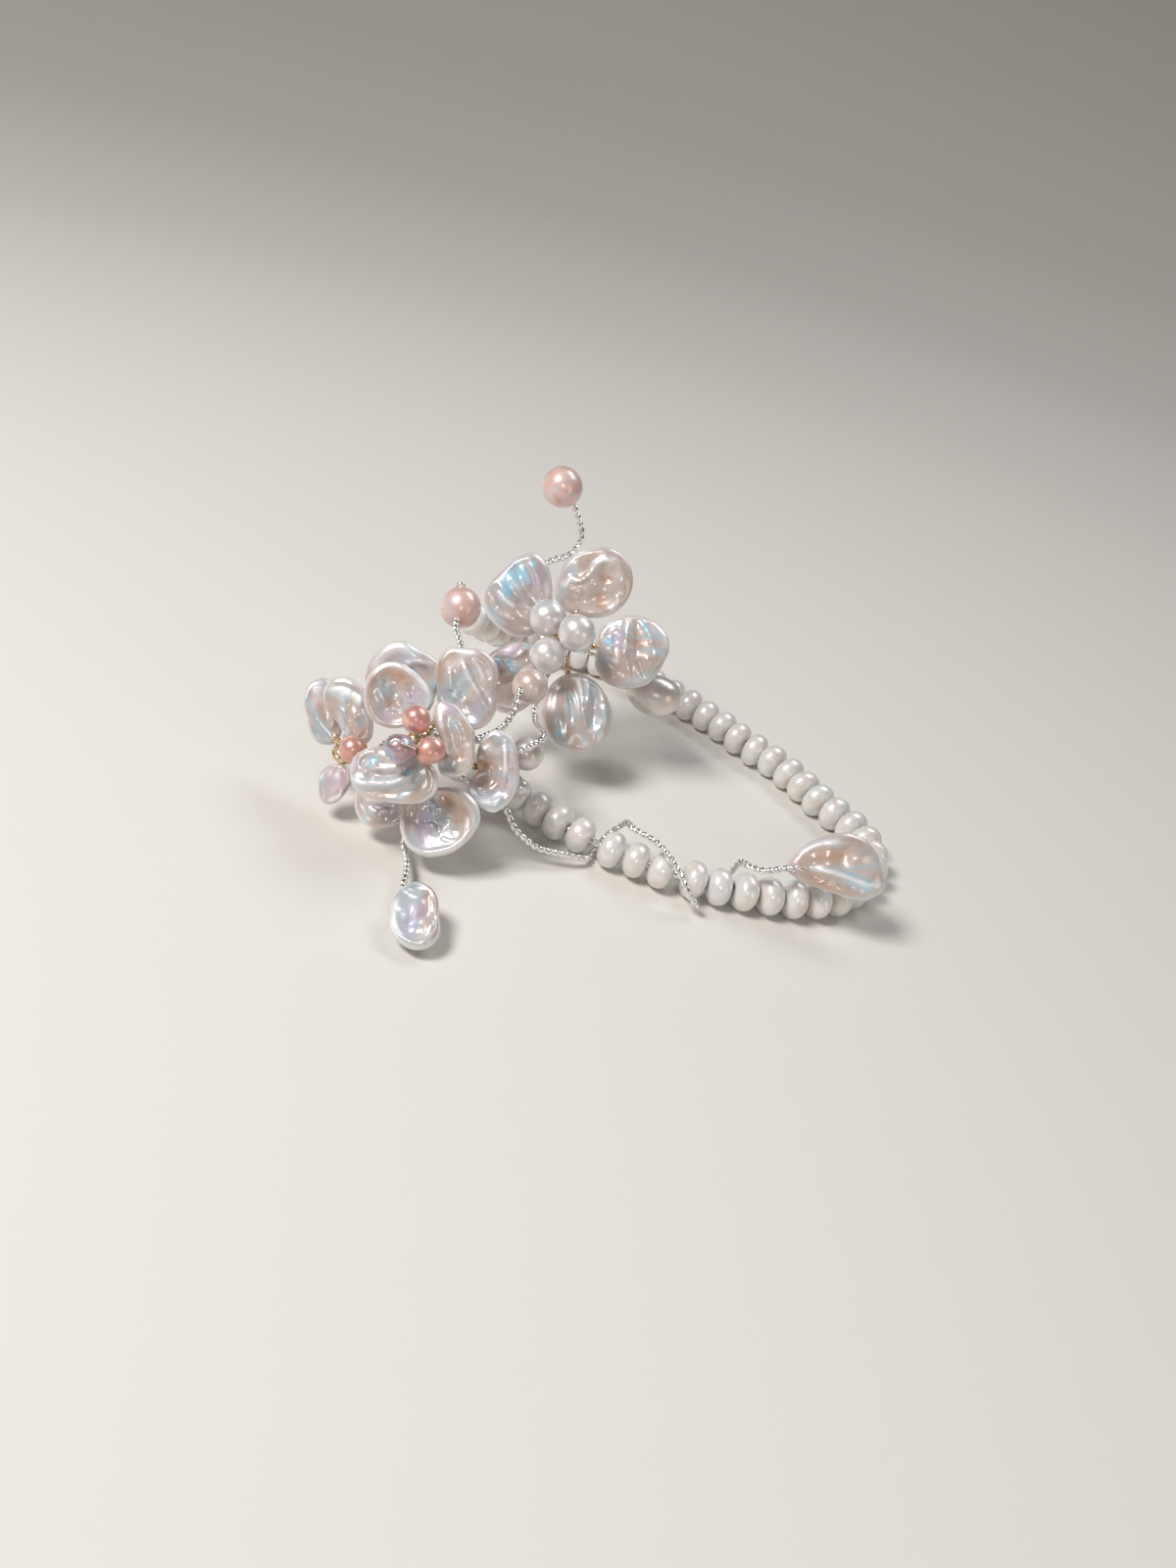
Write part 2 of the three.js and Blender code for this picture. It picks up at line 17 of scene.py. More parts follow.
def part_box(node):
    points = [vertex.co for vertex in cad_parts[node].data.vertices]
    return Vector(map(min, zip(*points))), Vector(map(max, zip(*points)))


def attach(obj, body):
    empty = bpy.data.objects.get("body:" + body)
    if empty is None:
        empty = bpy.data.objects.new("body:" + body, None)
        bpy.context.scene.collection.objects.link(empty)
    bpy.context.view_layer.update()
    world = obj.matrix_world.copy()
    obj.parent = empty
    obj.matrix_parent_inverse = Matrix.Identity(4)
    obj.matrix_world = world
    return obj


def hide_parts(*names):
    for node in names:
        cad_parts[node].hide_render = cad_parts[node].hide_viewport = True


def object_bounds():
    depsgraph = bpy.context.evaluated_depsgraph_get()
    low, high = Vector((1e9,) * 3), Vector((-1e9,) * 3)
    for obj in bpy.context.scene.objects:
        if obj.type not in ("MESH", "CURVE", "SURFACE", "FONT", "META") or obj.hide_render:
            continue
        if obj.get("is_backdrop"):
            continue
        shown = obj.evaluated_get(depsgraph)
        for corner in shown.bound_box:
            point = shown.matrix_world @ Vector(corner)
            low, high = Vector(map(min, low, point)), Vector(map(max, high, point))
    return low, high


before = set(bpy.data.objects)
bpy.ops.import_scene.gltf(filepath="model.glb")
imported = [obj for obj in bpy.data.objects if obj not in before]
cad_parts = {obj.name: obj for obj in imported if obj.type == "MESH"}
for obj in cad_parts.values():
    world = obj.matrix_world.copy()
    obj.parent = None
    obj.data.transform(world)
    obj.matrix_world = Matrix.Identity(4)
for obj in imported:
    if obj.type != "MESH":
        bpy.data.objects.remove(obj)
CAD_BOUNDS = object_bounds()
MM = 0.001
LOG = logging.getLogger("bracelet")

# Lengths between samples of the smooth curves, in millimetres.
WIRE_STEP = 0.12
BAND_STEP = 0.05
STROKE_STEP = 0.3
# Samples between two points of a curve, before the even ones are taken, and waves in a noise.
CURVE_SAMPLES = 60
NOISE_WAVES = 7
# How full a stroke or a glow is at its ends, and how fast it fills from there.
END_FULLNESS = 0.3
END_RISE = 5

SPRAY_LIFT = math.radians(32)
SPRAY_TURN = math.radians(18)

HUBS = {
    "flower_1": (-22.2, -22.9, 10.5),
    "flower_2": (-13.0, 1.3, 14.2),
    "flower_3": (-29.3, -21.9, 6.3),
}

BEAD_RADIUS = 2.15
BEAD_THICKNESS = 2.75
BEAD_PITCH = 2.85
FIRST_BEAD = 5.95
BEAD_SIDES = 10
LOOSE_GAPS = {7: 0.85, 10: 0.65}
CORE_RADIUS = 0.36
# The core wire takes one in so many of the band's samples.
CORE_THINNING = 8
BEAD_HEIGHT = BEAD_RADIUS * math.cos(math.pi / BEAD_SIDES)

# The bangle's route: x, y and the height over the lying bead's middle.
BAND_ROUTE = [
    (-21.3, -21.7, 7.6), (-19.5, -19.3, 6), (-16.8, -16.4, 3.3), (-13.9, -14.2, 1.2), (-11.5, -13.8, 0.2),
    (-9.2, -14.5, 0), (-6.6, -15.8, 0), (-4.1, -16.7, 0), (-1.1, -17.4, 0), (2.1, -17.9, 0),
    (5.2, -18.3, 0), (8.9, -18.1, 0), (11.6, -17.9, 0), (14.4, -17.3, 0), (17.1, -16.6, 0),
    (20.1, -15.6, 0), (22.8, -14.2, 0), (25.4, -11.9, 0), (27.7, -8, 0), (28.9, -4, 0), (28.6, -0.4, 0),
    (26.5, 2.9, 0), (24.8, 4.4, 0), (23.1, 5.9, 0), (21.3, 7.8, 0), (19.2, 10.1, 0), (15.6, 13, 0),
    (13.2, 14.3, 0), (10.9, 16, 0), (8.7, 17.8, 0), (6.3, 19.1, 0), (3.9, 20.5, 0), (-3.2, 23.4, 0),
    (-10.5, 24.5, 0), (-16.4, 22.9, 0.6), (-20, 19.7, 2), (-23, 15.1, 4.4), (-25.7, 11, 6.9),
]

# Routes of the twisted wires. A point is x, y, z, or a flower and its right, up and out.
VINE_ROUTE = [
    ("flower_1", 1.6, -1.2, -1.2), ("flower_1", 4, -3, -2.9), ("flower_1", 7, -5.2, -4.2), (-12.1, -21.4, 5.4),
    (-10.8, -22.2, 4.2), (-9.6, -22, 3.2), (-8.1, -21.5, 2.2), (-6.3, -20.9, 1.8), (-4.4, -20.1, 1.5),
    (-2.9, -19.1, 0.95), (-2.5, -18.2, 0.6), (-2.25, -17, 0.55), (-2, -15.8, 0.7), (-1.3, -14.4, 1.5),
    (-0.4, -14.1, 2.9), (0.2, -15.2, 4.4), (0.9, -17, 5.2), (1.9, -18, 5.5), (3.4, -18.6, 5.5),
    (4.9, -19.7, 5.3), (6, -20.5, 4.8), (7.1, -21.1, 3.9), (8.1, -21.5, 2.8), (8.9, -21.5, 1.9),
    (9.7, -21.4, 1.4),
]
LEAF_STEM_ROUTE = [
    (12.6, -14.2, 1.6), (13.1, -14.8, 3.8), (14, -16.7, 4.9), (15.3, -17.7, 5.6), (17, -17.4, 6.3),
    (19, -17, 7),
]
SPRAY_STEM_ROUTE = [
    ("flower_1", 0, 0, 0), ("flower_1", 2, 1, -2.6), ("flower_1", 5.4, 0.6, -3.6), ("flower_1", 9.4, -0.6, -4),
    ("flower_1", 12, 0.6, -5), ("flower_2", -2.7, -9.2, 3), ("flower_2", -2.8, -7, -0.4),
    ("flower_2", -1.8, -4, -2.6), ("flower_2", 0, 0, 0),
]
BLUSH_STEM_ROUTE = [
    ("flower_1", 5.4, 0.6, -3.6), ("flower_1", 7.4, 1.7, -7.5), ("flower_1", 8, 2.4, -9.6),
    ("flower_1", 8.6, 3.4, -10.3), ("flower_1", 9.2, 4.8, -10), ("flower_1", 9.6, 6, -9.9),
    ("flower_1", 10.5, 6.6, -11.6),
]
OVAL_STEM_ROUTE = [
    ("flower_2", 0, 0, 0), ("flower_2", 3.4, -0.9, -2.7), ("flower_2", 6.4, -2.5, -3.2),
    ("flower_2", 9, -4.6, -4.4), ("flower_2", 11, -5.6, -6),
]
HIGH_STEM_ROUTE = [
    ("flower_2", 0, 0, 0), ("flower_2", -1.6, 3, -2.7), ("flower_2", -2.8, 6.5, -3.3),
    ("flower_2", -2.6, 8.8, -2.7),
    ("flower_2", -1, 9.6, -1.6), ("flower_2", 0.7, 9.9, -0.6), ("flower_2", 1.9, 10.8, 0.2),
    ("flower_2", 2.4, 12.2, 1.2), ("flower_2", 2, 13.8, 2), ("flower_2", 1.4, 15.2, 2.6),
    ("flower_2", 0.3, 16.9, 3),
]
LEFT_STEM_ROUTE = [
    ("flower_1", 0, 0, 0), ("flower_1", 1.6, 2, -2.8), ("flower_1", 3.3, 6, -3.6), ("flower_1", 3.8, 10, -5.4),
    ("flower_1", 3, 12.6, -8), ("flower_1", 3.2, 15, -10.5),
]
DROP_STEM_ROUTE = [
    ("flower_1", 0, 0, 0), ("flower_1", -0.9, -3.4, -2.3), ("flower_1", -0.9, -7, -2.4),
    ("flower_1", -1.5, -9.6, -1.6), (-19.6, -28.8, 1.4), (-18.9, -31.2, 1.6), (-18.6, -33.4, 1.8),
    (-18, -35, 2), (-16.3, -37.7, 2.2),
]
LINK_ROUTE = [
    ("flower_1", 0, 0, 0), ("flower_1", -3, 0.4, -2), ("flower_3", 2.4, 0, -1.8), ("flower_3", 0.8, 0, -1.5),
    ("flower_3", 0, 0, 0),
]
GREY_STEM_ROUTE = [("flower_1", 9.4, -0.6, -4), ("flower_1", 10.2, -0.6, -5), ("flower_1", 10.5, -0.7, -6.5)]
SMALL_GREY_STEM_ROUTE = [
    ("flower_1", 9.4, -0.6, -4), ("flower_1", 9.2, -2.4, -5), ("flower_1", 9.9, -3.7, -6.5),
]
# The thin wire over the mauve stamen, and the loop on top of the left pink pearl.
GLINT_ROUTE = [
    ("flower_1", -1.3, 0, 6.86), ("flower_1", -1.1, 0.25, 6.8), ("flower_1", -0.7, 0.2, 6.86),
    ("flower_1", -0.3, -0.05, 6.88), ("flower_1", 0.1, -0.2, 6.7), ("flower_1", 0.5, -0.4, 6.2),
]
PINK_LEFT_PLACE = (-23.8, -5.9, 17.9)
LOOP_RISE = 2.3
LOOP_RADIUS = 0.42
FINE_RADIUS = 0.14
VINE_STRAND = 0.19
VINE_OFFSET = 0.17


def spray_axes() -> tuple[np.ndarray, np.ndarray, np.ndarray]:
    """The spray's own directions.

    Returns:
        Right, up and out, each of length one.
    """
    level = np.array([1.0, 0.0, 0.0])
    rise = np.array([0.0, math.sin(SPRAY_LIFT), math.cos(SPRAY_LIFT)])
    out = np.array([0.0, -math.cos(SPRAY_LIFT), math.sin(SPRAY_LIFT)])
    right = level * math.cos(SPRAY_TURN) + rise * math.sin(SPRAY_TURN)
    up = rise * math.cos(SPRAY_TURN) - level * math.sin(SPRAY_TURN)
    return right, up, out


RIGHT, UP, OUT = spray_axes()
BLUSH_PLACE = np.array([-14.2, -8.0, 12.5])


def design_shift() -> np.ndarray:
    """What is added to a design place to get its row-frame place, in millimetres."""
    low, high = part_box("blush_pearl")
    return (np.array(low) + np.array(high)) / (2 * MM) - BLUSH_PLACE


SHIFT = design_shift()


def route_point(point: tuple) -> np.ndarray:
    """A route's point in row-frame millimetres.

    Args:
        point: x, y and z, or a flower's name and its right, up and out.

    Returns:
        The place as an array of three.
    """
    if isinstance(point[0], str):
        hub = np.array(HUBS[point[0]])
        return hub + RIGHT * point[1] + UP * point[2] + OUT * point[3] + SHIFT
    return np.array(point, float) + SHIFT


def smooth_route(points: np.ndarray, step: float) -> np.ndarray:
    """A centripetal Catmull-Rom curve through points, sampled evenly.

    Args:
        points: The route's points, one a row.
        step: The length between samples.

    Returns:
        The samples, one a row.
    """
    padded = np.vstack([2 * points[0] - points[1], points, 2 * points[-1] - points[-2]])
    samples = []
    for a, b, c, d in zip(padded, padded[1:], padded[2:], padded[3:]):
        gaps = [max(1e-4, np.linalg.norm(q - p) ** 0.5) for p, q in ((a, b), (b, c), (c, d))]
        way_b = (b - a) / gaps[0] - (c - a) / (gaps[0] + gaps[1]) + (c - b) / gaps[1]
        way_c = (c - b) / gaps[1] - (d - b) / (gaps[1] + gaps[2]) + (d - c) / gaps[2]
        way_b, way_c = way_b * gaps[1], way_c * gaps[1]
        t = np.linspace(0, 1, CURVE_SAMPLES, endpoint=False)[:, None]
        samples.append(
            b + way_b * t + (-3 * b + 3 * c - 2 * way_b - way_c) * t**2 + (2 * b - 2 * c + way_b + way_c) * t**3
        )
    dense = np.vstack([*samples, points[-1:]])
    lengths = np.concatenate([[0], np.cumsum(np.linalg.norm(np.diff(dense, axis=0), axis=1))])
    count = max(2, int(round(lengths[-1] / step)) + 1)
    at = np.linspace(0, lengths[-1], count)
    return np.stack([np.interp(at, lengths, dense[:, axis]) for axis in range(dense.shape[1])], axis=1)


def smooth_noise(places: np.ndarray, scale: float, seed: int) -> np.ndarray:
    """Smooth wandering values between about -1 and 1.

    Args:
        places: Places, one a row.
        scale: The waves' length, in the places' unit.
        seed: Which field.

    Returns:
        One value a place.
    """
    picks = np.random.default_rng(seed)
    total = np.zeros(len(places))
    for _ in range(NOISE_WAVES):
        way = picks.normal(size=places.shape[1])
        way *= 2 * math.pi / (scale * np.linalg.norm(way) * picks.uniform(0.7, 1.6))
        total += np.sin(places @ way + picks.uniform(0, 2 * math.pi))
    return total / (NOISE_WAVES / 2)


def line_distance(x: np.ndarray, y: np.ndarray, points: tuple) -> tuple[np.ndarray, np.ndarray]:
    """How far each place is from a smooth line, and how full the line is at its nearest point.

    Args:
        x: The places' first coordinates.
        y: The places' second coordinates.
        points: The line's points; one point stands for a spot.

    Returns:
        The distances, and 1 along the line's middle that falls to 0.3 at its ends.
    """
    if len(points) == 1:
        return np.hypot(x - points[0][0], y - points[0][1]), np.ones(x.shape)
    line = smooth_route(np.array(points, float), STROKE_STEP)
    best = np.full(x.shape, 1e9)
    along = np.zeros(x.shape)
    count = len(line) - 1
    for index, ((ax, ay), (bx, by)) in enumerate(zip(line, line[1:])):
        dx, dy = bx - ax, by - ay
        share = np.clip(((x - ax) * dx + (y - ay) * dy) / (dx * dx + dy * dy), 0, 1)
        away = np.hypot(x - ax - share * dx, y - ay - share * dy)
        nearer = away < best
        best = np.where(nearer, away, best)
        along = np.where(nearer, (index + share) / count, along)
    return best, np.clip(END_FULLNESS + END_RISE * np.minimum(along, 1 - along), 0, 1)


def link_object(name: str, mesh: bpy.types.Mesh) -> bpy.types.Object:
    """A linked object at the origin with smooth faces.

    Args:
        name: The object's name.
        mesh: Its mesh.

    Returns:
        The object.
    """
    mesh.shade_smooth()
    made = bpy.data.objects.new(name, mesh)
    bpy.context.scene.collection.objects.link(made)
    return made


def closed_mesh(name: str, rings: np.ndarray, first: np.ndarray, last: np.ndarray) -> bpy.types.Mesh:
    """A closed mesh of rings between two poles, its faces outward.

    Args:
        name: The mesh's name.
        rings: Rings of places in millimetres, as rings by sides by 3.
        first: The pole before the first ring.
        last: The pole after the last ring.

    Returns:
        The mesh, in metres.
    """
    count, sides = rings.shape[:2]
    places = np.vstack([rings.reshape(-1, 3), first, last]) * MM
    faces = []
    for ring in range(count - 1):
        for side in range(sides):
            a, b = ring * sides + side, ring * sides + (side + 1) % sides
            faces.append((a, b, b + sides, a + sides))
    end = (count - 1) * sides
    for side in range(sides):
        after = (side + 1) % sides
        faces.append((count * sides, after, side))
        faces.append((count * sides + 1, end + side, end + after))
    middle = places.mean(axis=0)
    quad = places[list(faces[len(faces) // 3])]
    normal = np.cross(quad[1] - quad[0], quad[2] - quad[0])
    if normal @ (quad.mean(axis=0) - middle) < 0:
        faces = [tuple(reversed(face)) for face in faces]
    mesh = bpy.data.meshes.new(name)
    mesh.from_pydata(places.tolist(), [], faces)
    work = bmesh.new()
    work.from_mesh(mesh)
    bmesh.ops.recalc_face_normals(work, faces=work.faces)
    work.to_mesh(mesh)
    work.free()
    return mesh


def join_objects(name: str, parts: list[bpy.types.Object]) -> bpy.types.Object:
    """One object from several, with the first one's materials first.

    Args:
        name: The joined object's name.
        parts: The objects to join.

    Returns:
        The joined object.
    """
    with bpy.context.temp_override(active_object=parts[0], selected_editable_objects=parts):
        bpy.ops.object.join()
    parts[0].name = name
    return parts[0]


@dataclass(frozen=True)
class Poles:
    """A round node's two pole points, its middle and the places of its vertices, in millimetres."""

    first: np.ndarray
    last: np.ndarray
    places: np.ndarray

    @property
    def middle(self) -> np.ndarray:
        """The point halfway between the poles."""
        return (self.first + self.last) / 2

    @property
    def way(self) -> np.ndarray:
        """The direction from the first pole to the last."""
        return (self.last - self.first) / np.linalg.norm(self.last - self.first)


def read_poles(node: str, toward: np.ndarray) -> Poles:
    """Find the two fan points of a CAD node from a merged copy of its mesh.

    Args:
        node: The CAD node's name.
        toward: The last pole is the one further along this direction.

    Returns:
        The poles and the vertices.
    """
    work = bmesh.new()
    work.from_mesh(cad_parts[node].data)
    bmesh.ops.remove_doubles(work, verts=work.verts, dist=1e-6)
    fans = sorted(work.verts, key=lambda vertex: -len(vertex.link_edges))[:2]
    ends = sorted((np.array(vertex.co) / MM for vertex in fans), key=lambda place: place @ toward)
    places = np.array([vertex.co for vertex in work.verts]) / MM
    work.free()
    return Poles(ends[0], ends[1], places)


class Tree:
    """A node tree being filled: adds nodes and links their sockets."""

    def __init__(self, tree: bpy.types.NodeTree) -> None:
        """Keep the tree that nodes are added to."""
        self.tree = tree

    def add(self, kind: str, inputs: dict | None = None, **settings: object) -> bpy.types.Node:
        """Add a node, set it up and feed its inputs.

        Args:
            kind: The node's type name.
            inputs: Values or output sockets for the node's inputs, by name or number.
            **settings: The node's own properties.

        Returns:
            The node.
        """
        node = self.tree.nodes.new(kind)
        for name, value in settings.items():
            setattr(node, name, value)
        for name, value in (inputs or {}).items():
            if isinstance(value, bpy.types.NodeSocket):
                self.tree.links.new(value, node.inputs[name])
            else:
                node.inputs[name].default_value = value
        return node

    def out(self, kind: str, inputs: dict | None = None, **settings: object) -> bpy.types.NodeSocket:
        """Add a node and give its first output."""
        return self.add(kind, inputs, **settings).outputs[0]

    def noise(self, place: object, scale: float, detail: float, bend: float = 0.0) -> bpy.types.NodeSocket:
        """Add a noise.

        Args:
            place: Where it is read.
            scale: How fine it is.
            detail: How many finer noises are added.
            bend: How much it is bent.

        Returns:
            Its value.
        """
        inputs = {"Vector": place, "Scale": scale, "Detail": detail, "Distortion": bend}
        return self.out("ShaderNodeTexNoise", inputs)

    def math(self, operation: str, *values: object) -> bpy.types.NodeSocket:
        """The output of a math node of these values."""
        kind = "ShaderNodeMath"
        return self.out(kind, dict(enumerate(values)), operation=operation)

    def vector(self, operation: str, *values: object) -> bpy.types.NodeSocket:
        """The vector output of a vector math node of these values."""
        kind = "ShaderNodeVectorMath"
        return self.out(kind, dict(enumerate(values)), operation=operation)

    def scaled(self, vector: object, scale: object) -> bpy.types.NodeSocket:
        """A vector times a number."""
        node = self.add("ShaderNodeVectorMath", {0: vector, "Scale": scale}, operation="SCALE")
        return node.outputs[0]

    def mix(self, factor: object, first: object, second: object) -> bpy.types.NodeSocket:
        """Mix two colours.

        Args:
            factor: How much of the second there is.
            first: The first colour.
            second: The second colour.

        Returns:
            The mixed colour.
        """
        node = self.tree.nodes.new("ShaderNodeMix")
        node.data_type = "RGBA"
        for index, value in ((0, factor), (6, first), (7, second)):
            if isinstance(value, bpy.types.NodeSocket):
                self.tree.links.new(value, node.inputs[index])
            else:
                node.inputs[index].default_value = value
        return node.outputs[2]

    def ramp(self, value: object, low: float, high: float) -> bpy.types.NodeSocket:
        """Bring a value smoothly from low..high to 0..1.

        Args:
            value: The value.
            low: What becomes 0, as does all beyond it.
            high: What becomes 1, as does all beyond it.

        Returns:
            The ramped value.
        """
        node = self.add(
            "ShaderNodeMapRange", {"Value": value, "From Min": low, "From Max": high},
            interpolation_type="SMOOTHSTEP",
        )
        return node.outputs[0]

    def close(self, geometry: bpy.types.NodeSocket, material: bpy.types.NodeSocket) -> bpy.types.NodeTree:
        """Shade a geometry smooth, give it its material and hand it out.

        Args:
            geometry: The realized geometry.
            material: The tree's material input.

        Returns:
            The finished tree.
        """
        smooth = self.out("GeometryNodeSetShadeSmooth", {"Geometry": geometry})
        dressed = self.out("GeometryNodeSetMaterial", {"Geometry": smooth, "Material": material})
        self.add("NodeGroupOutput", {"Geometry": dressed})
        return self.tree


def nodes_tree(name: str, inputs: dict[str, str]) -> tuple[Tree, bpy.types.Node]:
    """A new Geometry Nodes tree with named inputs.

    Args:
        name: The tree's name.
        inputs: Socket kind by input name; Geometry is added first.

    Returns:
        The tree and its group input node.
    """
    group = bpy.data.node_groups.new(name, "GeometryNodeTree")
    group.interface.new_socket(name="Geometry", in_out="INPUT", socket_type="NodeSocketGeometry")
    group.interface.new_socket(name="Geometry", in_out="OUTPUT", socket_type="NodeSocketGeometry")
    for label, kind in inputs.items():
        group.interface.new_socket(name=label, in_out="INPUT", socket_type=f"NodeSocket{kind}")
    tree = Tree(group)
    return tree, tree.add("NodeGroupInput")


def grow(name: str, mesh: bpy.types.Mesh, group: bpy.types.NodeTree, values: dict) -> bpy.types.Object:
    """Run a Geometry Nodes tree on a mesh and keep its result as a plain mesh object.

    Args:
        name: The new object's name.
        mesh: The mesh the tree starts from.
        group: The Geometry Nodes tree.
        values: Values of the tree's named inputs.

    Returns:
        The object, with no modifier.
    """
    source = bpy.data.objects.new(f"{name}_path", mesh)
    bpy.context.scene.collection.objects.link(source)
    modifier = source.modifiers.new("grow", "NODES")
    modifier.node_group = group
    for item in group.interface.items_tree:
        if item.item_type == "SOCKET" and item.in_out == "INPUT" and item.name in values:
            modifier[item.identifier] = values[item.name]
    graph = bpy.context.evaluated_depsgraph_get()
    plain = bpy.data.meshes.new_from_object(source.evaluated_get(graph))
    bpy.data.objects.remove(source)
    plain.name = name
    made = bpy.data.objects.new(name, plain)
    bpy.context.scene.collection.objects.link(made)
    return made


def line_mesh(name: str, places: np.ndarray, closed: bool = False) -> bpy.types.Mesh:
    """A mesh of edges through places.

    Args:
        name: The mesh's name.
        places: The places in millimetres, one a row.
        closed: Whether the last place is joined to the first.

    Returns:
        The mesh, in metres.
    """
    count = len(places)
    edges = [(index, index + 1) for index in range(count - 1)] + ([(count - 1, 0)] if closed else [])
    mesh = bpy.data.meshes.new(name)
    mesh.from_pydata((places * MM).tolist(), edges, [])
    return mesh


class Finish(Enum):
    """The finishes of the pieces, by their name in the record."""

    BUTTON = "button_pearl"
    PETAL = "petal_pearl"
    WHITE = "white_pearl"
    CORAL = "coral_pearl"
    PINK = "pink_pearl"
    BLUSH = "blush_pearl"
    SILVER = "silver_wire"


# The nacre's noises: scale per millimetre, detail and distortion.
CLOUDS = (0.45, 3.0, 0.8)
BANDS = (0.3, 2.0, 1.6)
FINE_LINES = (1.7, 3.0, 0.6)
# From which noise to which the clouds, the flashes and the breaks in them come in.
CLOUD_RANGE = (0.4, 0.62)
COOL_RANGE = (0.5, 0.64)
WARM_RANGE = (0.5, 0.36)
BREAK_RANGE = (0.25, 0.7)
# What a cool flash and the roughness gain from their noise, and what they have without it.
BREAK_SPREAD, BREAK_LEAST = 0.45, 0.6
ROUGH_SPREAD, ROUGH_LEAST = 0.2, 0.26


def nacre_group() -> bpy.types.NodeTree:
    """The shared nacre look, made of clouds, streaks and flashes.

    Returns:
        The group, which gives a colour, a roughness and a height.
    """
    group = bpy.data.node_groups.new("nacre_look", "ShaderNodeTree")
    face = group.interface
    for label, kind in (
        ("Place", "Vector"), ("Body", "Color"), ("Cloud", "Color"), ("Cool", "Color"), ("Warm", "Color"),
        ("Cool Mask", "Float"), ("Warm Mask", "Float"), ("Sheen", "Float"),
    ):
        face.new_socket(name=label, in_out="INPUT", socket_type=f"NodeSocket{kind}")
    for label, kind in (("Color", "Color"), ("Roughness", "Float"), ("Height", "Float")):
        face.new_socket(name=label, in_out="OUTPUT", socket_type=f"NodeSocket{kind}")
    tree = Tree(group)
    given = tree.add("NodeGroupInput").outputs
    place = given["Place"]
    clouds, bands, fine = (tree.noise(place, *kind) for kind in (CLOUDS, BANDS, FINE_LINES))
    color = tree.mix(tree.ramp(clouds, *CLOUD_RANGE), given["Body"], given["Cloud"])
    cool = tree.math("MULTIPLY", tree.ramp(bands, *COOL_RANGE), given["Sheen"])
    warm = tree.math("MULTIPLY", tree.ramp(bands, *WARM_RANGE), given["Sheen"])
    breaks = tree.ramp(fine, *BREAK_RANGE)
    broken = tree.math("MULTIPLY_ADD", breaks, BREAK_SPREAD, BREAK_LEAST)
    # The cool mask paints fixed cyan glints into the petals.
    cool = tree.math("MAXIMUM", cool, tree.math("MULTIPLY", given["Cool Mask"], broken))
    # The warm mask brings the petals' peach and painted brown shade.
    warm = tree.math("MAXIMUM", warm, given["Warm Mask"])
    color = tree.mix(warm, color, given["Warm"])
    color = tree.mix(cool, color, given["Cool"])
    rough = tree.math("MULTIPLY_ADD", clouds, ROUGH_SPREAD, ROUGH_LEAST)
    height = tree.math("ADD", fine, clouds)
    tree.add("NodeGroupOutput", {"Color": color, "Roughness": rough, "Height": height})
    return group


def rgba(color: tuple[float, float, float]) -> tuple[float, float, float, float]:
    """A colour with full alpha."""
    return (*color, 1.0)


def new_material(name: str) -> tuple[bpy.types.Material, Tree]:
    """A material with an empty tree.

    Args:
        name: The material's name.

    Returns:
        The material and its tree.
    """
    made = bpy.data.materials.new(name)
    made.use_nodes = True
    made.node_tree.nodes.clear()
    return made, Tree(made.node_tree)


class Pattern(Enum):
    """Where a nacre's pattern lies and what steers it."""

    ROUND = "on the object, the same all over"
    STRUNG = "on the object, its shade picked bead by bead by the attribute shade"
    PETAL = "along the petal's own UV map, with flashes from the attribute tone"


# How the pattern is squeezed along and across a petal's growth, and the colour of its painted highlights.
GROWTH_STRETCH = (30.0, 95.0, 1.0)
PAINTED_HIGHLIGHT_COLOR = (0.98, 0.96, 0.97)
# The clear outer layers, and how far light goes in them, in millimetres.
PEARL_IOR = 1.6
COAT_WEIGHT = 0.9
COAT_ROUGHNESS = 0.09
GLOW_REACH = 0.6
GLOW_TINT = (1.0, 0.75, 0.65)
SHADE_STRENGTH = 0.7
EDGE_BLEND = 0.35
EDGE_START = 0.3


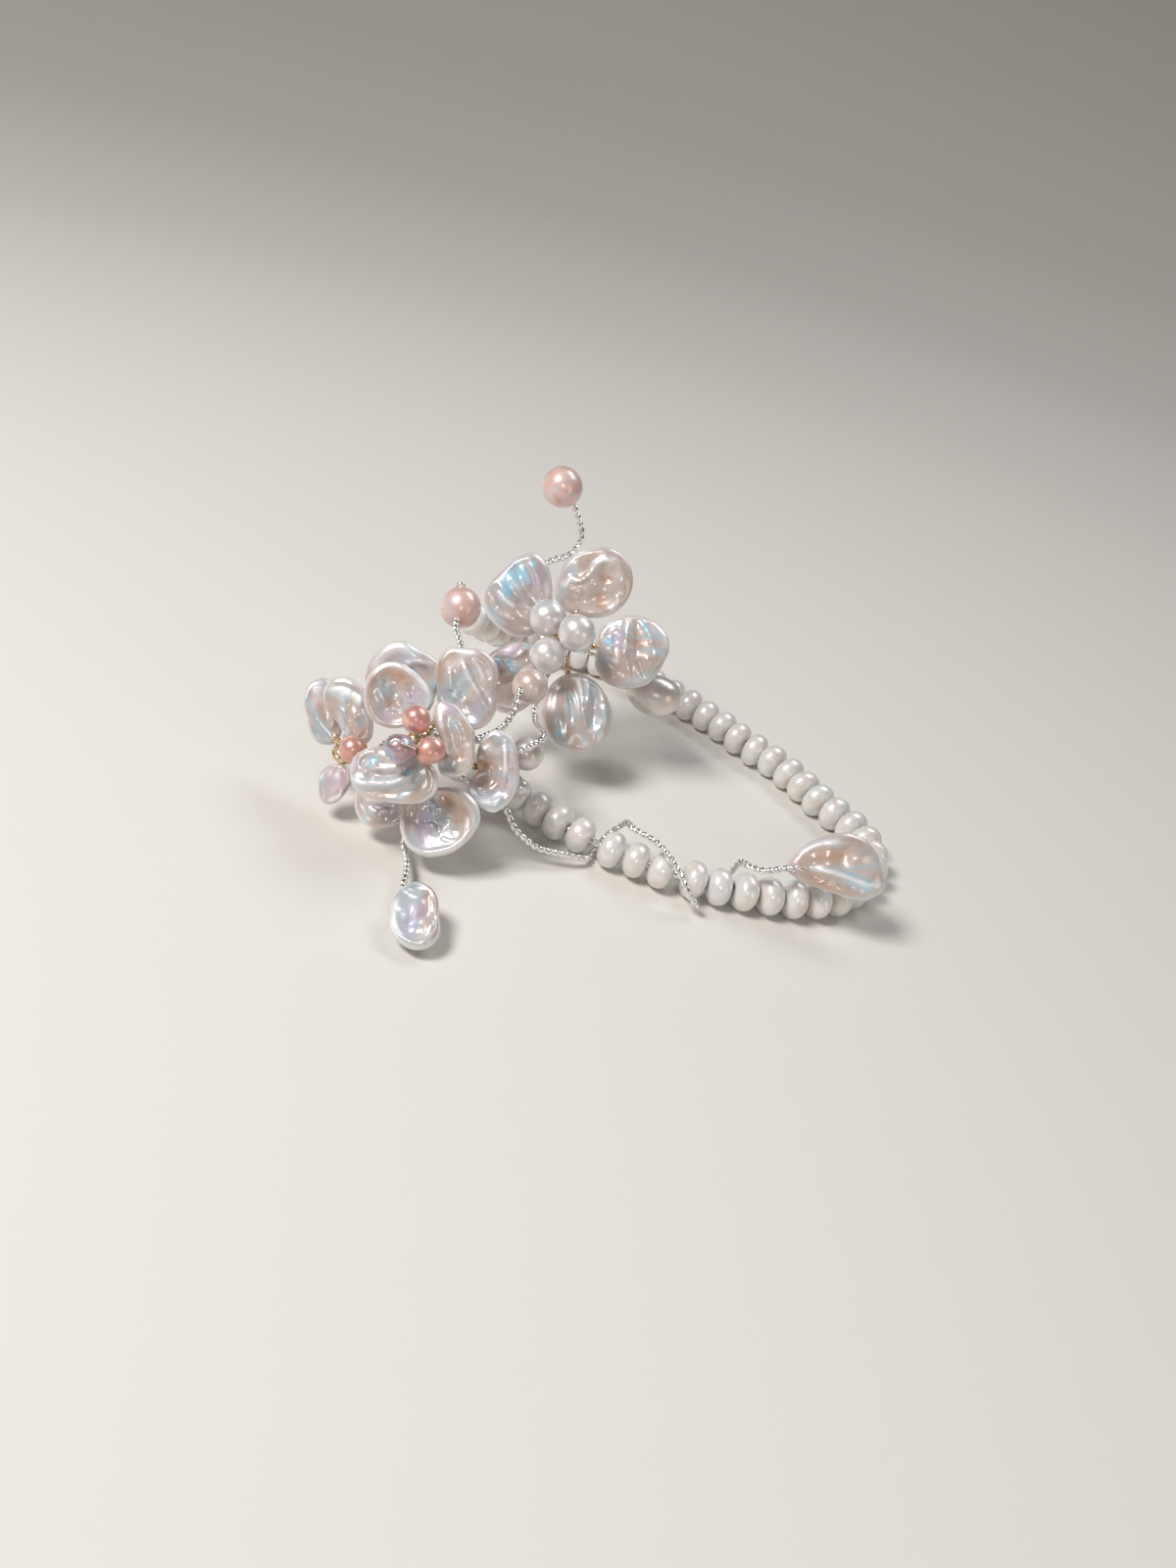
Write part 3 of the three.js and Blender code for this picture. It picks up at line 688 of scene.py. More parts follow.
@dataclass(frozen=True)
class Nacre:
    """The nacre of one kind of pearl.

    Attributes:
        name: The material's name.
        slot: The record's slot it belongs to.
        body: The colour seen face on.
        cloud: The colour of the cloudy patches.
        edge: The colour seen at a low angle.
        cool: The colour of the cool flashes; on the petals it is also painted in as fixed cyan glints.
        warm: The colour of the warm flashes; on the petals it is also their own peach and painted brown shade
            along hollows and grooves.
        lilac: The colour of the lilac patches.
        metallic: How much the body itself mirrors.
        sheen: How strong the flashes are where nothing else asks for them.
        grain: How high the growth lines stand, in millimetres.
        glow: How much light goes through the outer layers.
        pattern: Where the pattern lies.
    """

    name: str
    slot: Finish
    body: tuple[float, float, float]
    cloud: tuple[float, float, float]
    edge: tuple[float, float, float]
    cool: tuple[float, float, float] = (0.4, 0.76, 0.96)
    warm: tuple[float, float, float] = (0.58, 0.37, 0.27)
    lilac: tuple[float, float, float] = (0.66, 0.56, 0.7)
    metallic: float = 0.1
    sheen: float = 0.15
    grain: float = 0.02
    glow: float = 0.2
    pattern: Pattern = Pattern.ROUND

    def material(self, group: bpy.types.NodeTree) -> bpy.types.Material:
        """Build the material.

        Args:
            group: The shared nacre node group.

        Returns:
            The material.
        """
        made, tree = new_material(self.name)
        link = made.node_tree.links.new
        look = tree.add("ShaderNodeGroup", node_tree=group)
        for label, value in (
            ("Body", rgba(self.body)), ("Cloud", rgba(self.cloud)), ("Cool", rgba(self.cool)),
            ("Warm", rgba(self.warm)), ("Sheen", self.sheen),
        ):
            look.inputs[label].default_value = value
        color = look.outputs["Color"]
        if self.pattern is Pattern.PETAL:
            flat = tree.add("ShaderNodeUVMap", uv_map="growth").outputs["UV"]
            link(tree.vector("MULTIPLY", flat, GROWTH_STRETCH), look.inputs["Place"])
            tint_and_painted_light = tree.add("ShaderNodeAttribute", attribute_name="tint_and_painted_light").outputs
            parts = tree.add("ShaderNodeSeparateColor", {"Color": tint_and_painted_light["Color"]}).outputs
            # The green channel paints the cyan flashes in as fixed glints.
            link(parts["Green"], look.inputs["Cool Mask"])
            # The red channel is the petals' peach, and painted brown shade in hollows and grooves.
            link(parts["Red"], look.inputs["Warm Mask"])
            color = tree.mix(tint_and_painted_light["Alpha"], color, rgba(self.lilac))
            # The blue channel paints white highlights along ridges and the rim.
            color = tree.mix(parts["Blue"], color, rgba(PAINTED_HIGHLIGHT_COLOR))
        else:
            place = tree.add("ShaderNodeTexCoord").outputs["Object"]
            link(tree.scaled(place, 1 / MM), look.inputs["Place"])
        if self.pattern is Pattern.STRUNG:
            shade = tree.add("ShaderNodeAttribute", attribute_name="shade").outputs["Fac"]
            color = tree.mix(tree.math("MULTIPLY", shade, SHADE_STRENGTH), color, rgba(self.cloud))
        facing = tree.add("ShaderNodeLayerWeight", {"Blend": EDGE_BLEND}).outputs["Facing"]
        color = tree.mix(tree.ramp(facing, EDGE_START, 1.0), color, rgba(self.edge))
        bump = tree.add(
            "ShaderNodeBump", {"Height": look.outputs["Height"], "Distance": self.grain * MM, "Strength": 1.0},
        )
        shader = tree.add(
            "ShaderNodeBsdfPrincipled",
            {
                "Base Color": color, "Roughness": look.outputs["Roughness"], "Metallic": self.metallic,
                "Normal": bump.outputs["Normal"], "IOR": PEARL_IOR, "Coat IOR": PEARL_IOR,
                "Coat Weight": COAT_WEIGHT, "Coat Roughness": COAT_ROUGHNESS, "Subsurface Weight": self.glow,
                "Subsurface Radius": GLOW_TINT, "Subsurface Scale": GLOW_REACH * MM,
            },
        )
        tree.add("ShaderNodeOutputMaterial", {"Surface": shader.outputs[0]})
        return made


# The wire's patches: scale per metre, where they turn dull and how much rougher they get.
METAL_SCALE = 700.0
DULL_RANGE = (0.45, 0.75)
METAL_ROUGH_SPREAD = 0.16


@dataclass(frozen=True)
class Metal:
    """Polished wire.

    Attributes:
        name: The material's name.
        color: Its colour.
        dull: The colour of its duller patches.
        roughness: Its roughness where it is brightest.
    """

    name: str
    color: tuple[float, float, float]
    dull: tuple[float, float, float]
    roughness: float = 0.12

    def material(self) -> bpy.types.Material:
        """Build the material.

        Returns:
            The material.
        """
        made, tree = new_material(self.name)
        place = tree.add("ShaderNodeTexCoord").outputs["Object"]
        noise = tree.noise(place, METAL_SCALE, 3.0)
        color = tree.mix(tree.ramp(noise, *DULL_RANGE), rgba(self.color), rgba(self.dull))
        rough = tree.math("MULTIPLY_ADD", noise, METAL_ROUGH_SPREAD, self.roughness)
        shader = tree.add(
            "ShaderNodeBsdfPrincipled", {"Base Color": color, "Roughness": rough, "Metallic": 1.0},
        )
        tree.add("ShaderNodeOutputMaterial", {"Surface": shader.outputs[0]})
        return made


SILVER = Metal("silver_wire", (0.93, 0.92, 0.91), (0.84, 0.8, 0.74))
# Silver tinted golden-brown: a painted reflection of the peachy petals on the wire round the hubs.
HUB_REFLECTION_METAL = Metal("reflection_tinted_wire", (0.8, 0.62, 0.42), (0.62, 0.42, 0.28), 0.18)

BUTTON = Nacre(
    "button_pearl", Finish.BUTTON, (0.88, 0.86, 0.84), (0.8, 0.75, 0.71), (0.74, 0.77, 0.82), metallic=0.2,
    sheen=0.2, glow=0.3, pattern=Pattern.STRUNG,
)
PETAL = Nacre(
    "petal_pearl", Finish.PETAL, (0.68, 0.6, 0.56), (0.57, 0.48, 0.45), (0.66, 0.65, 0.7), metallic=0.25,
    sheen=0.3, grain=0.035, pattern=Pattern.PETAL,
)
WHITE = Nacre(
    "white_pearl", Finish.WHITE, (0.86, 0.83, 0.82), (0.79, 0.74, 0.73), (0.66, 0.7, 0.78),
    metallic=0.45, glow=0.3,
)
CREAM = Nacre(
    "cream_pearl", Finish.WHITE, (0.84, 0.79, 0.75), (0.77, 0.7, 0.66), (0.68, 0.68, 0.72),
    metallic=0.45, glow=0.3,
)
CORAL = Nacre(
    "coral_pearl", Finish.CORAL, (0.9, 0.5, 0.42), (0.78, 0.37, 0.3), (0.78, 0.6, 0.6), metallic=0.55,
    sheen=0.3, cool=(0.6, 0.42, 0.5),
)
MAUVE = Nacre(
    "mauve_pearl", Finish.CORAL, (0.56, 0.38, 0.46), (0.4, 0.24, 0.28), (0.6, 0.56, 0.66), metallic=0.6,
    sheen=0.4,
)
PINK = Nacre(
    "pink_pearl", Finish.PINK, (0.88, 0.61, 0.56), (0.8, 0.5, 0.45), (0.76, 0.64, 0.66),
    metallic=0.25, sheen=0.2,
)
BLUSH = Nacre(
    "blush_pearl", Finish.BLUSH, (0.76, 0.62, 0.56), (0.68, 0.53, 0.47), (0.66, 0.6, 0.62),
    metallic=0.25, sheen=0.2,
)


@dataclass(frozen=True)
class Stroke:
    """A ridge or, with a height below zero, a groove along a line of a petal's face, in millimetres."""

    points: tuple[tuple[float, float], ...]
    width: float
    height: float


class Hue(Enum):
    """What a glow mixes into a petal, by its channel of the petal's colour attribute; the channels hold painted
    light as well as tints.
    """

    # Red: the petals' own peach, and painted brown shade along hollows and grooves.
    WARM = 0
    # Green: cyan flashes of the nacre, painted in as fixed glints.
    COOL = 1
    # Blue: painted white highlights along ridges and the rim.
    PAINTED_HIGHLIGHT = 2
    LILAC = 3


@dataclass(frozen=True)
class Glow:
    """A patch of colour along a line of a petal's face, in millimetres; many are painted highlights, glints and
    shade.
    """

    hue: Hue
    points: tuple[tuple[float, float], ...]
    width: float
    strength: float = 0.8


# Places and widths on the way from a petal's middle to its rim, as shares of it.
LIP_PLACE = 0.88
LIP_WIDTH = 0.07
# The next width is that of the painted highlight inside the rim.
RIM_WIDTH = 0.1
DISH_PLACE = 0.62
DISH_WIDTH = 0.22
# The dish's depth as a share of the lip's height, and the power that blunts the rim.
DISH_DEPTH = 0.6
RIM_BLUNTNESS = 3.2
# How much the lip, the painted highlight along the rim and the strokes vary.
LIP_WANDER = 0.9
RIM_WANDER = 0.8
STROKE_UNEVENNESS = 0.15
# The swells' height on the back and at the rim, as shares, and how fast they and the glows fade there.
SWELL_BACK = 0.4
SWELL_AT_RIM = 0.3
FADE = 3
# How far beyond the inner end the folds meet, as a share of its distance, and how long they are drawn.
FOLD_REACH = 1.5
FOLD_STRETCH = 0.16
# Lengths of the swells, the folds and the strokes' unevenness, in millimetres.
SWELL_LENGTH = 3.4
FOLD_LENGTH = 1.15
UNEVEN_LENGTH = 0.9
RIM_LENGTH = 1.6


@dataclass
class PetalPearl:
    """A flat petal pearl on its CAD node's outline, with ridges, grooves and glows of its own.

    Attributes:
        node: The CAD node.
        lip: How high the rounded rim stands where it is highest, in millimetres.
        fan: How high the fine folds stand.
        rim: How strong the painted highlight along the rim is.
        wrinkle: How high the uneven swells are, in millimetres.
        seed: Which swells.
        strokes: Ridges and grooves of the front.
        glows: Patches of colour of the front, among them painted highlights, glints and shade.
        rings: Rings of vertices on each side.
        sides: Vertices in a ring.
        corners: Points of the CAD node's rim.
    """

    node: str
    lip: float = 0.16
    fan: float = 0.045
    rim: float = 0.5
    wrinkle: float = 0.14
    seed: int = 1
    strokes: tuple[Stroke, ...] = ()
    glows: tuple[Glow, ...] = ()
    rings: int = 46
    sides: int = 128
    corners: int = 16

    def outline(self, poles: Poles) -> tuple[np.ndarray, np.ndarray]:
        """The rim's places and its angles round the petal's middle, evenly spread.

        Args:
            poles: The node's poles and vertices.

        Returns:
            The rim's places less the middle, and their angles.
        """
        right = RIGHT - poles.way * (RIGHT @ poles.way)
        right /= np.linalg.norm(right)
        up = np.cross(poles.way, right)
        away = poles.places - poles.middle
        x, y = away @ right, away @ up
        turns, radii = np.arctan2(y, x), np.hypot(x, y)
        widest = np.argmax(radii)
        count = self.corners
        slots = np.round((turns - turns[widest]) / (2 * math.pi / count)).astype(int) % count
        rim = np.array([away[np.where(slots == slot, radii, -1).argmax()] for slot in range(count)])
        at = np.arange(self.sides) / self.sides * count
        first = np.floor(at).astype(int)
        part = (at - first)[:, None]
        a, b, c, d = (rim[(first + step) % count] for step in (-1, 0, 1, 2))
        curve = b + 0.5 * part * (c - a + part * (2 * a - 5 * b + 4 * c - d + part * (3 * (b - c) + d - a)))
        return curve, np.arctan2(curve @ up, curve @ right)

    def build(self) -> bpy.types.Object:
        """Make the petal's mesh with its attribute tone.

        Returns:
            The petal.
        """
        poles = read_poles(self.node, OUT)
        rim, turns = self.outline(poles)
        face = poles.way
        thick = np.linalg.norm(poles.last - poles.first)
        level = rim @ face
        flat = rim - level[:, None] * face
        radii = np.linalg.norm(flat, axis=1)
        steps = np.arange(1, self.rings + 1) / self.rings
        shares = 1 - (1 - steps) ** 2
        share = np.concatenate([shares, shares[-2::-1]])[:, None]
        way = np.concatenate([np.ones(self.rings), -np.ones(self.rings - 1)])[:, None]
        x = share * radii * np.cos(turns)
        y = share * radii * np.sin(turns)
        blunt = np.sqrt(np.clip(1 - share**RIM_BLUNTNESS, 0, 1))
        height = level * share**2 + way * thick / 2 * blunt
        front = (way > 0) * blunt
        flat_places = np.stack([x.ravel(), y.ravel()], axis=1)
        swell = smooth_noise(flat_places, SWELL_LENGTH, self.seed).reshape(x.shape)
        fade = np.minimum(1, FADE * (1 - share) + SWELL_AT_RIM)
        height += self.wrinkle * swell * (SWELL_BACK + (1 - SWELL_BACK) * front) * fade
        lip = self.lip * self.around(turns, LIP_WANDER)
        height += front * lip * np.exp(-(((share - LIP_PLACE) / LIP_WIDTH) ** 2))
        height -= front * lip * DISH_DEPTH * np.exp(-(((share - DISH_PLACE) / DISH_WIDTH) ** 2))
        height += front * self.fan * self.folds(x, y, poles)
        wander = smooth_noise(flat_places, UNEVEN_LENGTH, self.seed + 7).reshape(x.shape)
        uneven = 1 + STROKE_UNEVENNESS * wander
        for stroke in self.strokes:
            away, fullness = line_distance(x, y, stroke.points)
            height += front * uneven * fullness * stroke.height * np.exp(-((away / stroke.width) ** 2))
        rings = poles.middle + share[..., None] * flat[None] + height[..., None] * face
        first = rings[0].mean(axis=0)
        last = rings[-1].mean(axis=0)
        mesh = closed_mesh(self.node, rings, first, last)
        self.add_tint_and_painted_light(mesh, x, y, front, np.broadcast_to(share, x.shape))
        self.add_growth(mesh, x, y, poles)
        return link_object(f"look_{self.node}", mesh)

    def around(self, turns: np.ndarray, depth: float) -> np.ndarray:
        """A factor that wanders round the rim between 1 - depth and 1 + depth / 2.

        Args:
            turns: The rim's angles.
            depth: How much it falls.

        Returns:
            One factor an angle.
        """
        spots = np.stack([np.cos(turns), np.sin(turns)], axis=1)
        return 1 + depth * np.clip(smooth_noise(spots, RIM_LENGTH, self.seed + 3), -1, 0.5)

    def folds(self, x: np.ndarray, y: np.ndarray, poles: Poles) -> np.ndarray:
        """Fine folds that fan out from the petal's inner end.

        Args:
            x: The places' first coordinates on the face.
            y: Their second coordinates.
            poles: The node's poles.

        Returns:
            Heights between about -1 and 1.
        """
        along, across = self.growth_way(poles)
        out, side = x * along + y * across, y * along - x * across
        reach = -FOLD_REACH * out.min()
        spots = np.stack([np.arctan2(side, out + reach).ravel() * reach, FOLD_STRETCH * out.ravel()], axis=1)
        return smooth_noise(spots, FOLD_LENGTH, self.seed + 5).reshape(x.shape)

    def growth_way(self, poles: Poles) -> tuple[float, float]:
        """The direction from the flower's middle to the petal's, on its face.

        Args:
            poles: The node's poles.

        Returns:
            Its shares along right and up.
        """
        flower = self.node[:8]
        if flower not in HUBS:
            return (1.0, 0.0) if self.node == "leaf_keshi" else (0.0, 1.0)
        away = poles.middle - np.array(HUBS[flower]) - SHIFT
        size = math.hypot(away @ RIGHT, away @ UP)
        return (away @ RIGHT / size, away @ UP / size)

    def add_growth(self, mesh: bpy.types.Mesh, x: np.ndarray, y: np.ndarray, poles: Poles) -> None:
        """Store the places along and across the petal as the UV map growth, in centimetres.

        Args:
            mesh: The petal's mesh.
            x: The vertices' first coordinates on the face.
            y: Their second coordinates.
            poles: The node's poles.
        """
        along, across = self.growth_way(poles)
        places = np.zeros((x.size + 2, 2))
        places[: x.size, 0] = (x * along + y * across).ravel()
        places[: x.size, 1] = (y * along - x * across).ravel()
        spread = 0.5 + self.seed + places / 100
        corners = np.empty(len(mesh.loops), dtype=np.int32)
        mesh.loops.foreach_get("vertex_index", corners)
        layer = mesh.uv_layers.new(name="growth")
        layer.data.foreach_set("uv", spread[corners].ravel())

    def add_tint_and_painted_light(
        self, mesh: bpy.types.Mesh, x: np.ndarray, y: np.ndarray, front: np.ndarray, share: np.ndarray,
    ) -> None:
        """Store the glows and the painted highlight along the rim as the petal's colour attribute.

        Args:
            mesh: The petal's mesh.
            x: The vertices' first coordinates on the face.
            y: Their second coordinates.
            front: How much each vertex belongs to the front.
            share: How far each vertex is out to the rim.
        """
        tint_and_painted_light = np.zeros((x.size + 2, 4))
        rim_highlight = self.rim * self.around(np.arctan2(y, x).ravel(), RIM_WANDER).reshape(x.shape)
        # The band just inside the rim gets a painted highlight.
        tint_and_painted_light[: x.size, Hue.PAINTED_HIGHLIGHT.value] = (rim_highlight * np.clip((share - LIP_PLACE) / RIM_WIDTH, 0, 1)).ravel()
        for glow in self.glows:
            away, fullness = line_distance(x, y, glow.points)
            value = glow.strength * fullness * np.exp(-((away / glow.width) ** 2)) * np.minimum(1, FADE * front)
            channel = tint_and_painted_light[: x.size, glow.hue.value]
            np.maximum(channel, value.ravel(), out=channel)
        layer = mesh.color_attributes.new("tint_and_painted_light", "FLOAT_COLOR", "POINT")
        layer.data.foreach_set("color", tint_and_painted_light.ravel())


PETALS = (
    PetalPearl(
        "flower_1_petal_top", seed=3,
        strokes=(Stroke(((0, 1.6), (1.2, 2.1), (2.6, 1.8)), 0.4, 0.22),),
        glows=(
            Glow(Hue.PAINTED_HIGHLIGHT, ((-3.3, 1.2), (-2, 2.8), (-0.5, 3.5), (0.9, 3)), 0.44, 0.9),
            Glow(Hue.PAINTED_HIGHLIGHT, ((0.2, 1.8), (1.6, 2), (2.8, 1.7)), 0.28, 0.8),
            Glow(Hue.LILAC, ((0.1, 2.4), (1.2, 1.6)), 0.6, 0.7),
            Glow(Hue.COOL, ((2.9, -0.3),), 0.5, 0.7),
            Glow(Hue.WARM, ((-2.6, 0.8), (-1, 2)), 0.9, 0.5),
        ),
    ),
    PetalPearl(
        "flower_1_petal_peach_cup", seed=5, lip=0.26,
        strokes=(
            Stroke(((0, 0.4),), 2.2, -0.35),
            Stroke(((-1.8, 1.5), (-1.1, 0.9), (-0.4, 0.2)), 0.28, -0.2),
            Stroke(((-2.2, 0.9), (-1.8, 0), (-1.2, -0.8)), 0.4, 0.16),
            Stroke(((0.3, 1.8), (0.4, 0.8), (0.6, -0.2)), 0.4, 0.14),
        ),
        glows=(
            Glow(Hue.WARM, ((-2.2, 1.8), (-0.6, 2.2), (0.9, 1.5)), 1.0, 0.95),
            Glow(Hue.WARM, ((-2.6, -0.6), (-1, 0)), 1.1, 0.7),
            Glow(Hue.LILAC, ((-1.4, -1.6),), 0.7, 0.8),
            Glow(Hue.LILAC, ((1.2, 0.2),), 0.9, 0.7),
            Glow(
                Hue.PAINTED_HIGHLIGHT, ((-3.3, 1.7), (-2.6, 2.7), (-1.2, 3.2), (0.1, 3), (1.3, 2.2), (2.3, 1.1), (2.7, 0)),
                0.24, 1.0,
            ),
        ),
    ),
    PetalPearl(
        "flower_1_petal_upright", seed=7, lip=0.1,
        strokes=(
            Stroke(((-0.2, 2.6), (0.5, 0.9), (1.4, -0.6), (2.2, -2.4)), 0.3, 0.26),
            Stroke(((0.6, 3), (1.4, 2), (2, 0.4)), 0.3, 0.22),
            Stroke(((-1.5, 1.6), (-1.4, -0.4)), 0.35, 0.16),
            Stroke(((-0.9, 1.8), (-0.5, 0), (0.4, -2)), 0.5, -0.2),
            Stroke(((-1.5, -0.8), (0.6, -1.4)), 0.3, 0.1),
        ),
        glows=(
            Glow(Hue.WARM, ((-2.7, 2.8), (-2.9, 0.4)), 0.8, 0.9),
            Glow(Hue.WARM, ((-1.6, 3.2), (-0.4, 2.2)), 0.6, 0.5),
            Glow(Hue.PAINTED_HIGHLIGHT, ((-0.7, 3.4), (1, 3.5)), 0.4, 0.9),
            Glow(Hue.PAINTED_HIGHLIGHT, ((-0.2, 2.5), (0.5, 0.9), (1.4, -0.6)), 0.2, 0.6),
            Glow(Hue.PAINTED_HIGHLIGHT, ((0.6, 3), (1.4, 2), (1.9, 0.7)), 0.2, 0.5),
            Glow(Hue.LILAC, ((0.6, -1.8), (1.4, -2.6)), 1.0, 0.6),
        ),
    ),
    PetalPearl(
        "flower_1_petal_kidney", seed=9, lip=0.1,
        strokes=(
            Stroke(((-1.5, 2.6), (-1.2, 1.2), (-0.8, -0.6), (-0.4, -2.4)), 0.35, 0.28),
            Stroke(((-0.2, 1.8), (0.4, 0.4), (0.4, -1.2)), 0.4, 0.15),
            Stroke(((0.2, -0.4), (0.5, -2)), 0.35, -0.16),
        ),
        glows=(
            Glow(Hue.PAINTED_HIGHLIGHT, ((-1.45, 2.5), (-1.25, 1.1)), 0.28, 1.0),
            Glow(Hue.PAINTED_HIGHLIGHT, ((-1.6, -2), (-1.3, -2.6)), 0.44, 0.8),
            Glow(Hue.COOL, ((-0.4, 2), (0.2, 0.8)), 0.5, 0.5),
            Glow(Hue.LILAC, ((-1, 3.3), (0.2, 2.8)), 0.7, 0.6),
            Glow(Hue.WARM, ((0.6, -1.2), (0.4, -2.4)), 0.8, 0.6),
        ),
    ),
    PetalPearl(
        "flower_1_petal_ridged", seed=11, lip=0.1,
        strokes=(
            Stroke(((-1, 0.6),), 1.0, -0.45),
            Stroke(((1.05, 2.8), (1.2, 1.3), (1.15, -0.3), (0.9, -1.7)), 0.3, 0.4),
            Stroke(((-1.7, -1.4), (-0.6, -1.8), (0.4, -1.1), (0.6, 0.8)), 0.35, 0.3),
            Stroke(((-2.4, -1.4), (-1.6, -2.7), (0, -3.1), (1.1, -2.4)), 0.4, 0.25),
            Stroke(((0.2, 3.4), (1, 3)), 0.5, 0.2),
        ),
        glows=(
            Glow(Hue.WARM, ((-1.1, 1.4), (-0.8, -0.4)), 0.9, 1.0),
            Glow(Hue.PAINTED_HIGHLIGHT, ((1.05, 2.8), (1.2, 1.3), (1.15, -0.2)), 0.21, 1.0),
            Glow(Hue.PAINTED_HIGHLIGHT, ((-2.3, -1.5), (-1.9, -2.2)), 0.31, 0.9),
            Glow(Hue.PAINTED_HIGHLIGHT, ((-1.2, -2.9), (-0.1, -2.9)), 0.35, 0.8),
            Glow(Hue.LILAC, ((-0.4, -2.3), (1, -2), (1.7, 0.6)), 0.6, 0.5),
        ),
    ),
    PetalPearl(
        "flower_1_petal_wide", seed=13, lip=0.1,
        strokes=(
            Stroke(((-4, -0.4), (-3, -1), (-1.5, -1.05), (0, -1), (1.3, -0.5), (2, 0.2)), 0.35, 0.45),
            Stroke(((-3.5, 0.2), (-3.2, 1.3), (-2.4, 1.9), (-1.4, 1.7)), 0.35, 0.3),
            Stroke(((-1.9, 1.2), (-1.6, 0.4), (-0.4, 0.3), (0.9, 0.4)), 0.3, 0.22),
            Stroke(((-2.8, 0), (-1, -0.3), (0.8, -0.1)), 0.35, -0.3),
            Stroke(((-3, -1.9), (0, -2), (2.4, -1.5)), 0.35, -0.22),
        ),
        glows=(
            Glow(Hue.COOL, ((-4, -0.4), (-3, -1), (0, -1), (1.3, -0.5)), 0.5, 0.6),
            Glow(Hue.PAINTED_HIGHLIGHT, ((-4, -0.4), (-3, -1), (-1.5, -1.05), (0, -1), (1.3, -0.5)), 0.25, 1.0),
            Glow(Hue.COOL, ((1, -0.4), (2, 0.1)), 0.4, 0.9),
            Glow(Hue.COOL, ((-2, 1.5), (-1.7, 0.6)), 0.6, 0.9),
            Glow(Hue.LILAC, ((-3.3, 1.2), (-3.7, 0.2)), 0.5, 0.9),
            Glow(Hue.PAINTED_HIGHLIGHT, ((-2.9, 2), (-1.4, 3.2)), 0.31, 0.9),
            Glow(Hue.WARM, ((-2, -2.3), (1, -2.4)), 0.6, 0.5),
        ),
    ),
    PetalPearl(
        "flower_1_petal_bottom_cup", seed=15, lip=0.2,
        strokes=(
            Stroke(((0, 0),), 2.4, -0.35),
            Stroke(
                (
                    (-3.5, -0.4), (-3.3, -1.6), (-2.6, -2.7), (-1.4, -3.1), (0.4, -2.9), (1.8, -2.4),
                    (2.6, -1.4), (2.8, 0),
                ),
                0.28, 0.28,
            ),
            Stroke(((0.1, -1.5), (0.4, -0.9), (1, -0.3)), 0.16, 0.16),
            Stroke(((0.2, -1.6), (1, -1.95), (2, -2.1)), 0.2, 0.2),
            Stroke(((-0.2, 0.6), (0, -0.6), (0.2, -1.4)), 0.25, -0.14),
            Stroke(((-0.6, 2.6), (-0.5, 1)), 0.3, -0.14),
        ),
        glows=(
            Glow(Hue.WARM, ((0.4, 2.8), (1.8, 1), (2.2, -0.4)), 1.0, 1.0),
            Glow(Hue.WARM, ((-2.4, 1.2), (-2, -1)), 0.7, 0.5),
            Glow(Hue.COOL, ((-0.9, 1), (-0.8, -0.4)), 0.7, 0.55),
            Glow(Hue.LILAC, ((-1.6, 1), (-1.2, -1.8), (0, -2.4)), 0.8, 0.8),
            Glow(
                Hue.PAINTED_HIGHLIGHT,
                (
                    (-3.7, -0.4), (-3.4, -1.6), (-2.6, -2.8), (-1.4, -3.3), (0.4, -3.1), (1.8, -2.6),
                    (2.6, -1.6), (2.8, 0),
                ),
                0.2, 1.0,
            ),
            Glow(Hue.PAINTED_HIGHLIGHT, ((0.2, -1.6), (1, -1.95), (2, -2.1)), 0.2, 0.9),
            Glow(Hue.PAINTED_HIGHLIGHT, ((0.1, -1.5), (0.9, -0.4)), 0.2, 0.7),
        ),
    ),
    PetalPearl(
        "flower_1_petal_lower_left", seed=17, lip=0.1,
        strokes=(
            Stroke(((-2, 0), (-0.6, -0.2), (1.2, -0.2)), 0.35, 0.28),
            Stroke(((-1.6, -1), (-0.6, -1.4), (0.6, -1.2)), 0.25, 0.18),
            Stroke(((-1.4, -1.6), (0, -2)), 0.25, 0.12),
        ),
        glows=(
            Glow(Hue.PAINTED_HIGHLIGHT, ((-1.8, -0.1), (-0.2, -0.25)), 0.33, 1.0),
            Glow(Hue.LILAC, ((-1, -0.6), (1.2, -0.8)), 0.7, 0.7),
            Glow(Hue.PAINTED_HIGHLIGHT, ((-1.4, -1.1), (-0.7, -1.4)), 0.22, 0.9),
            Glow(Hue.PAINTED_HIGHLIGHT, ((-0.4, -1.5), (0.1, -1.3)), 0.2, 0.8),
            Glow(Hue.WARM, ((-1.8, 1), (1, 0.8)), 0.6, 0.5),
        ),
    ),
    PetalPearl(
        "flower_2_petal_left_triangle", seed=19, lip=0.12,
        strokes=(
            Stroke(((-2.2, 0.2), (-1.2, -1), (0, -1.8)), 0.25, 0.22),
            Stroke(((-2, 1), (-0.8, -0.4), (0.2, -1)), 0.3, 0.22),
            Stroke(((-0.8, 1.9), (0.2, 0.4), (0.6, -0.4)), 0.35, 0.22),
            Stroke(((0.3, 3), (1.3, 1.6), (1.4, 0.6)), 0.35, 0.24),
            Stroke(((1.6, 3.6), (2.4, 1.6), (2.6, -0.5)), 0.4, 0.22),
            Stroke(((-0.4, 3), (0.6, 1.8)), 0.3, -0.16),
            Stroke(((-3.4, -0.2), (-2.4, -2), (-0.4, -3.2)), 0.35, 0.2),
        ),
        glows=(
            Glow(Hue.COOL, ((-1.9, 0.8), (-0.3, 0.3)), 1.5, 1.0),
            Glow(Hue.COOL, ((-0.9, 1.4), (1.2, 2.6)), 1.3, 1.0),
            Glow(Hue.COOL, ((1.8, 3.3),), 0.5, 0.8),
            Glow(Hue.PAINTED_HIGHLIGHT, ((-0.7, 1.3), (0.6, 0.4)), 0.38, 0.6),
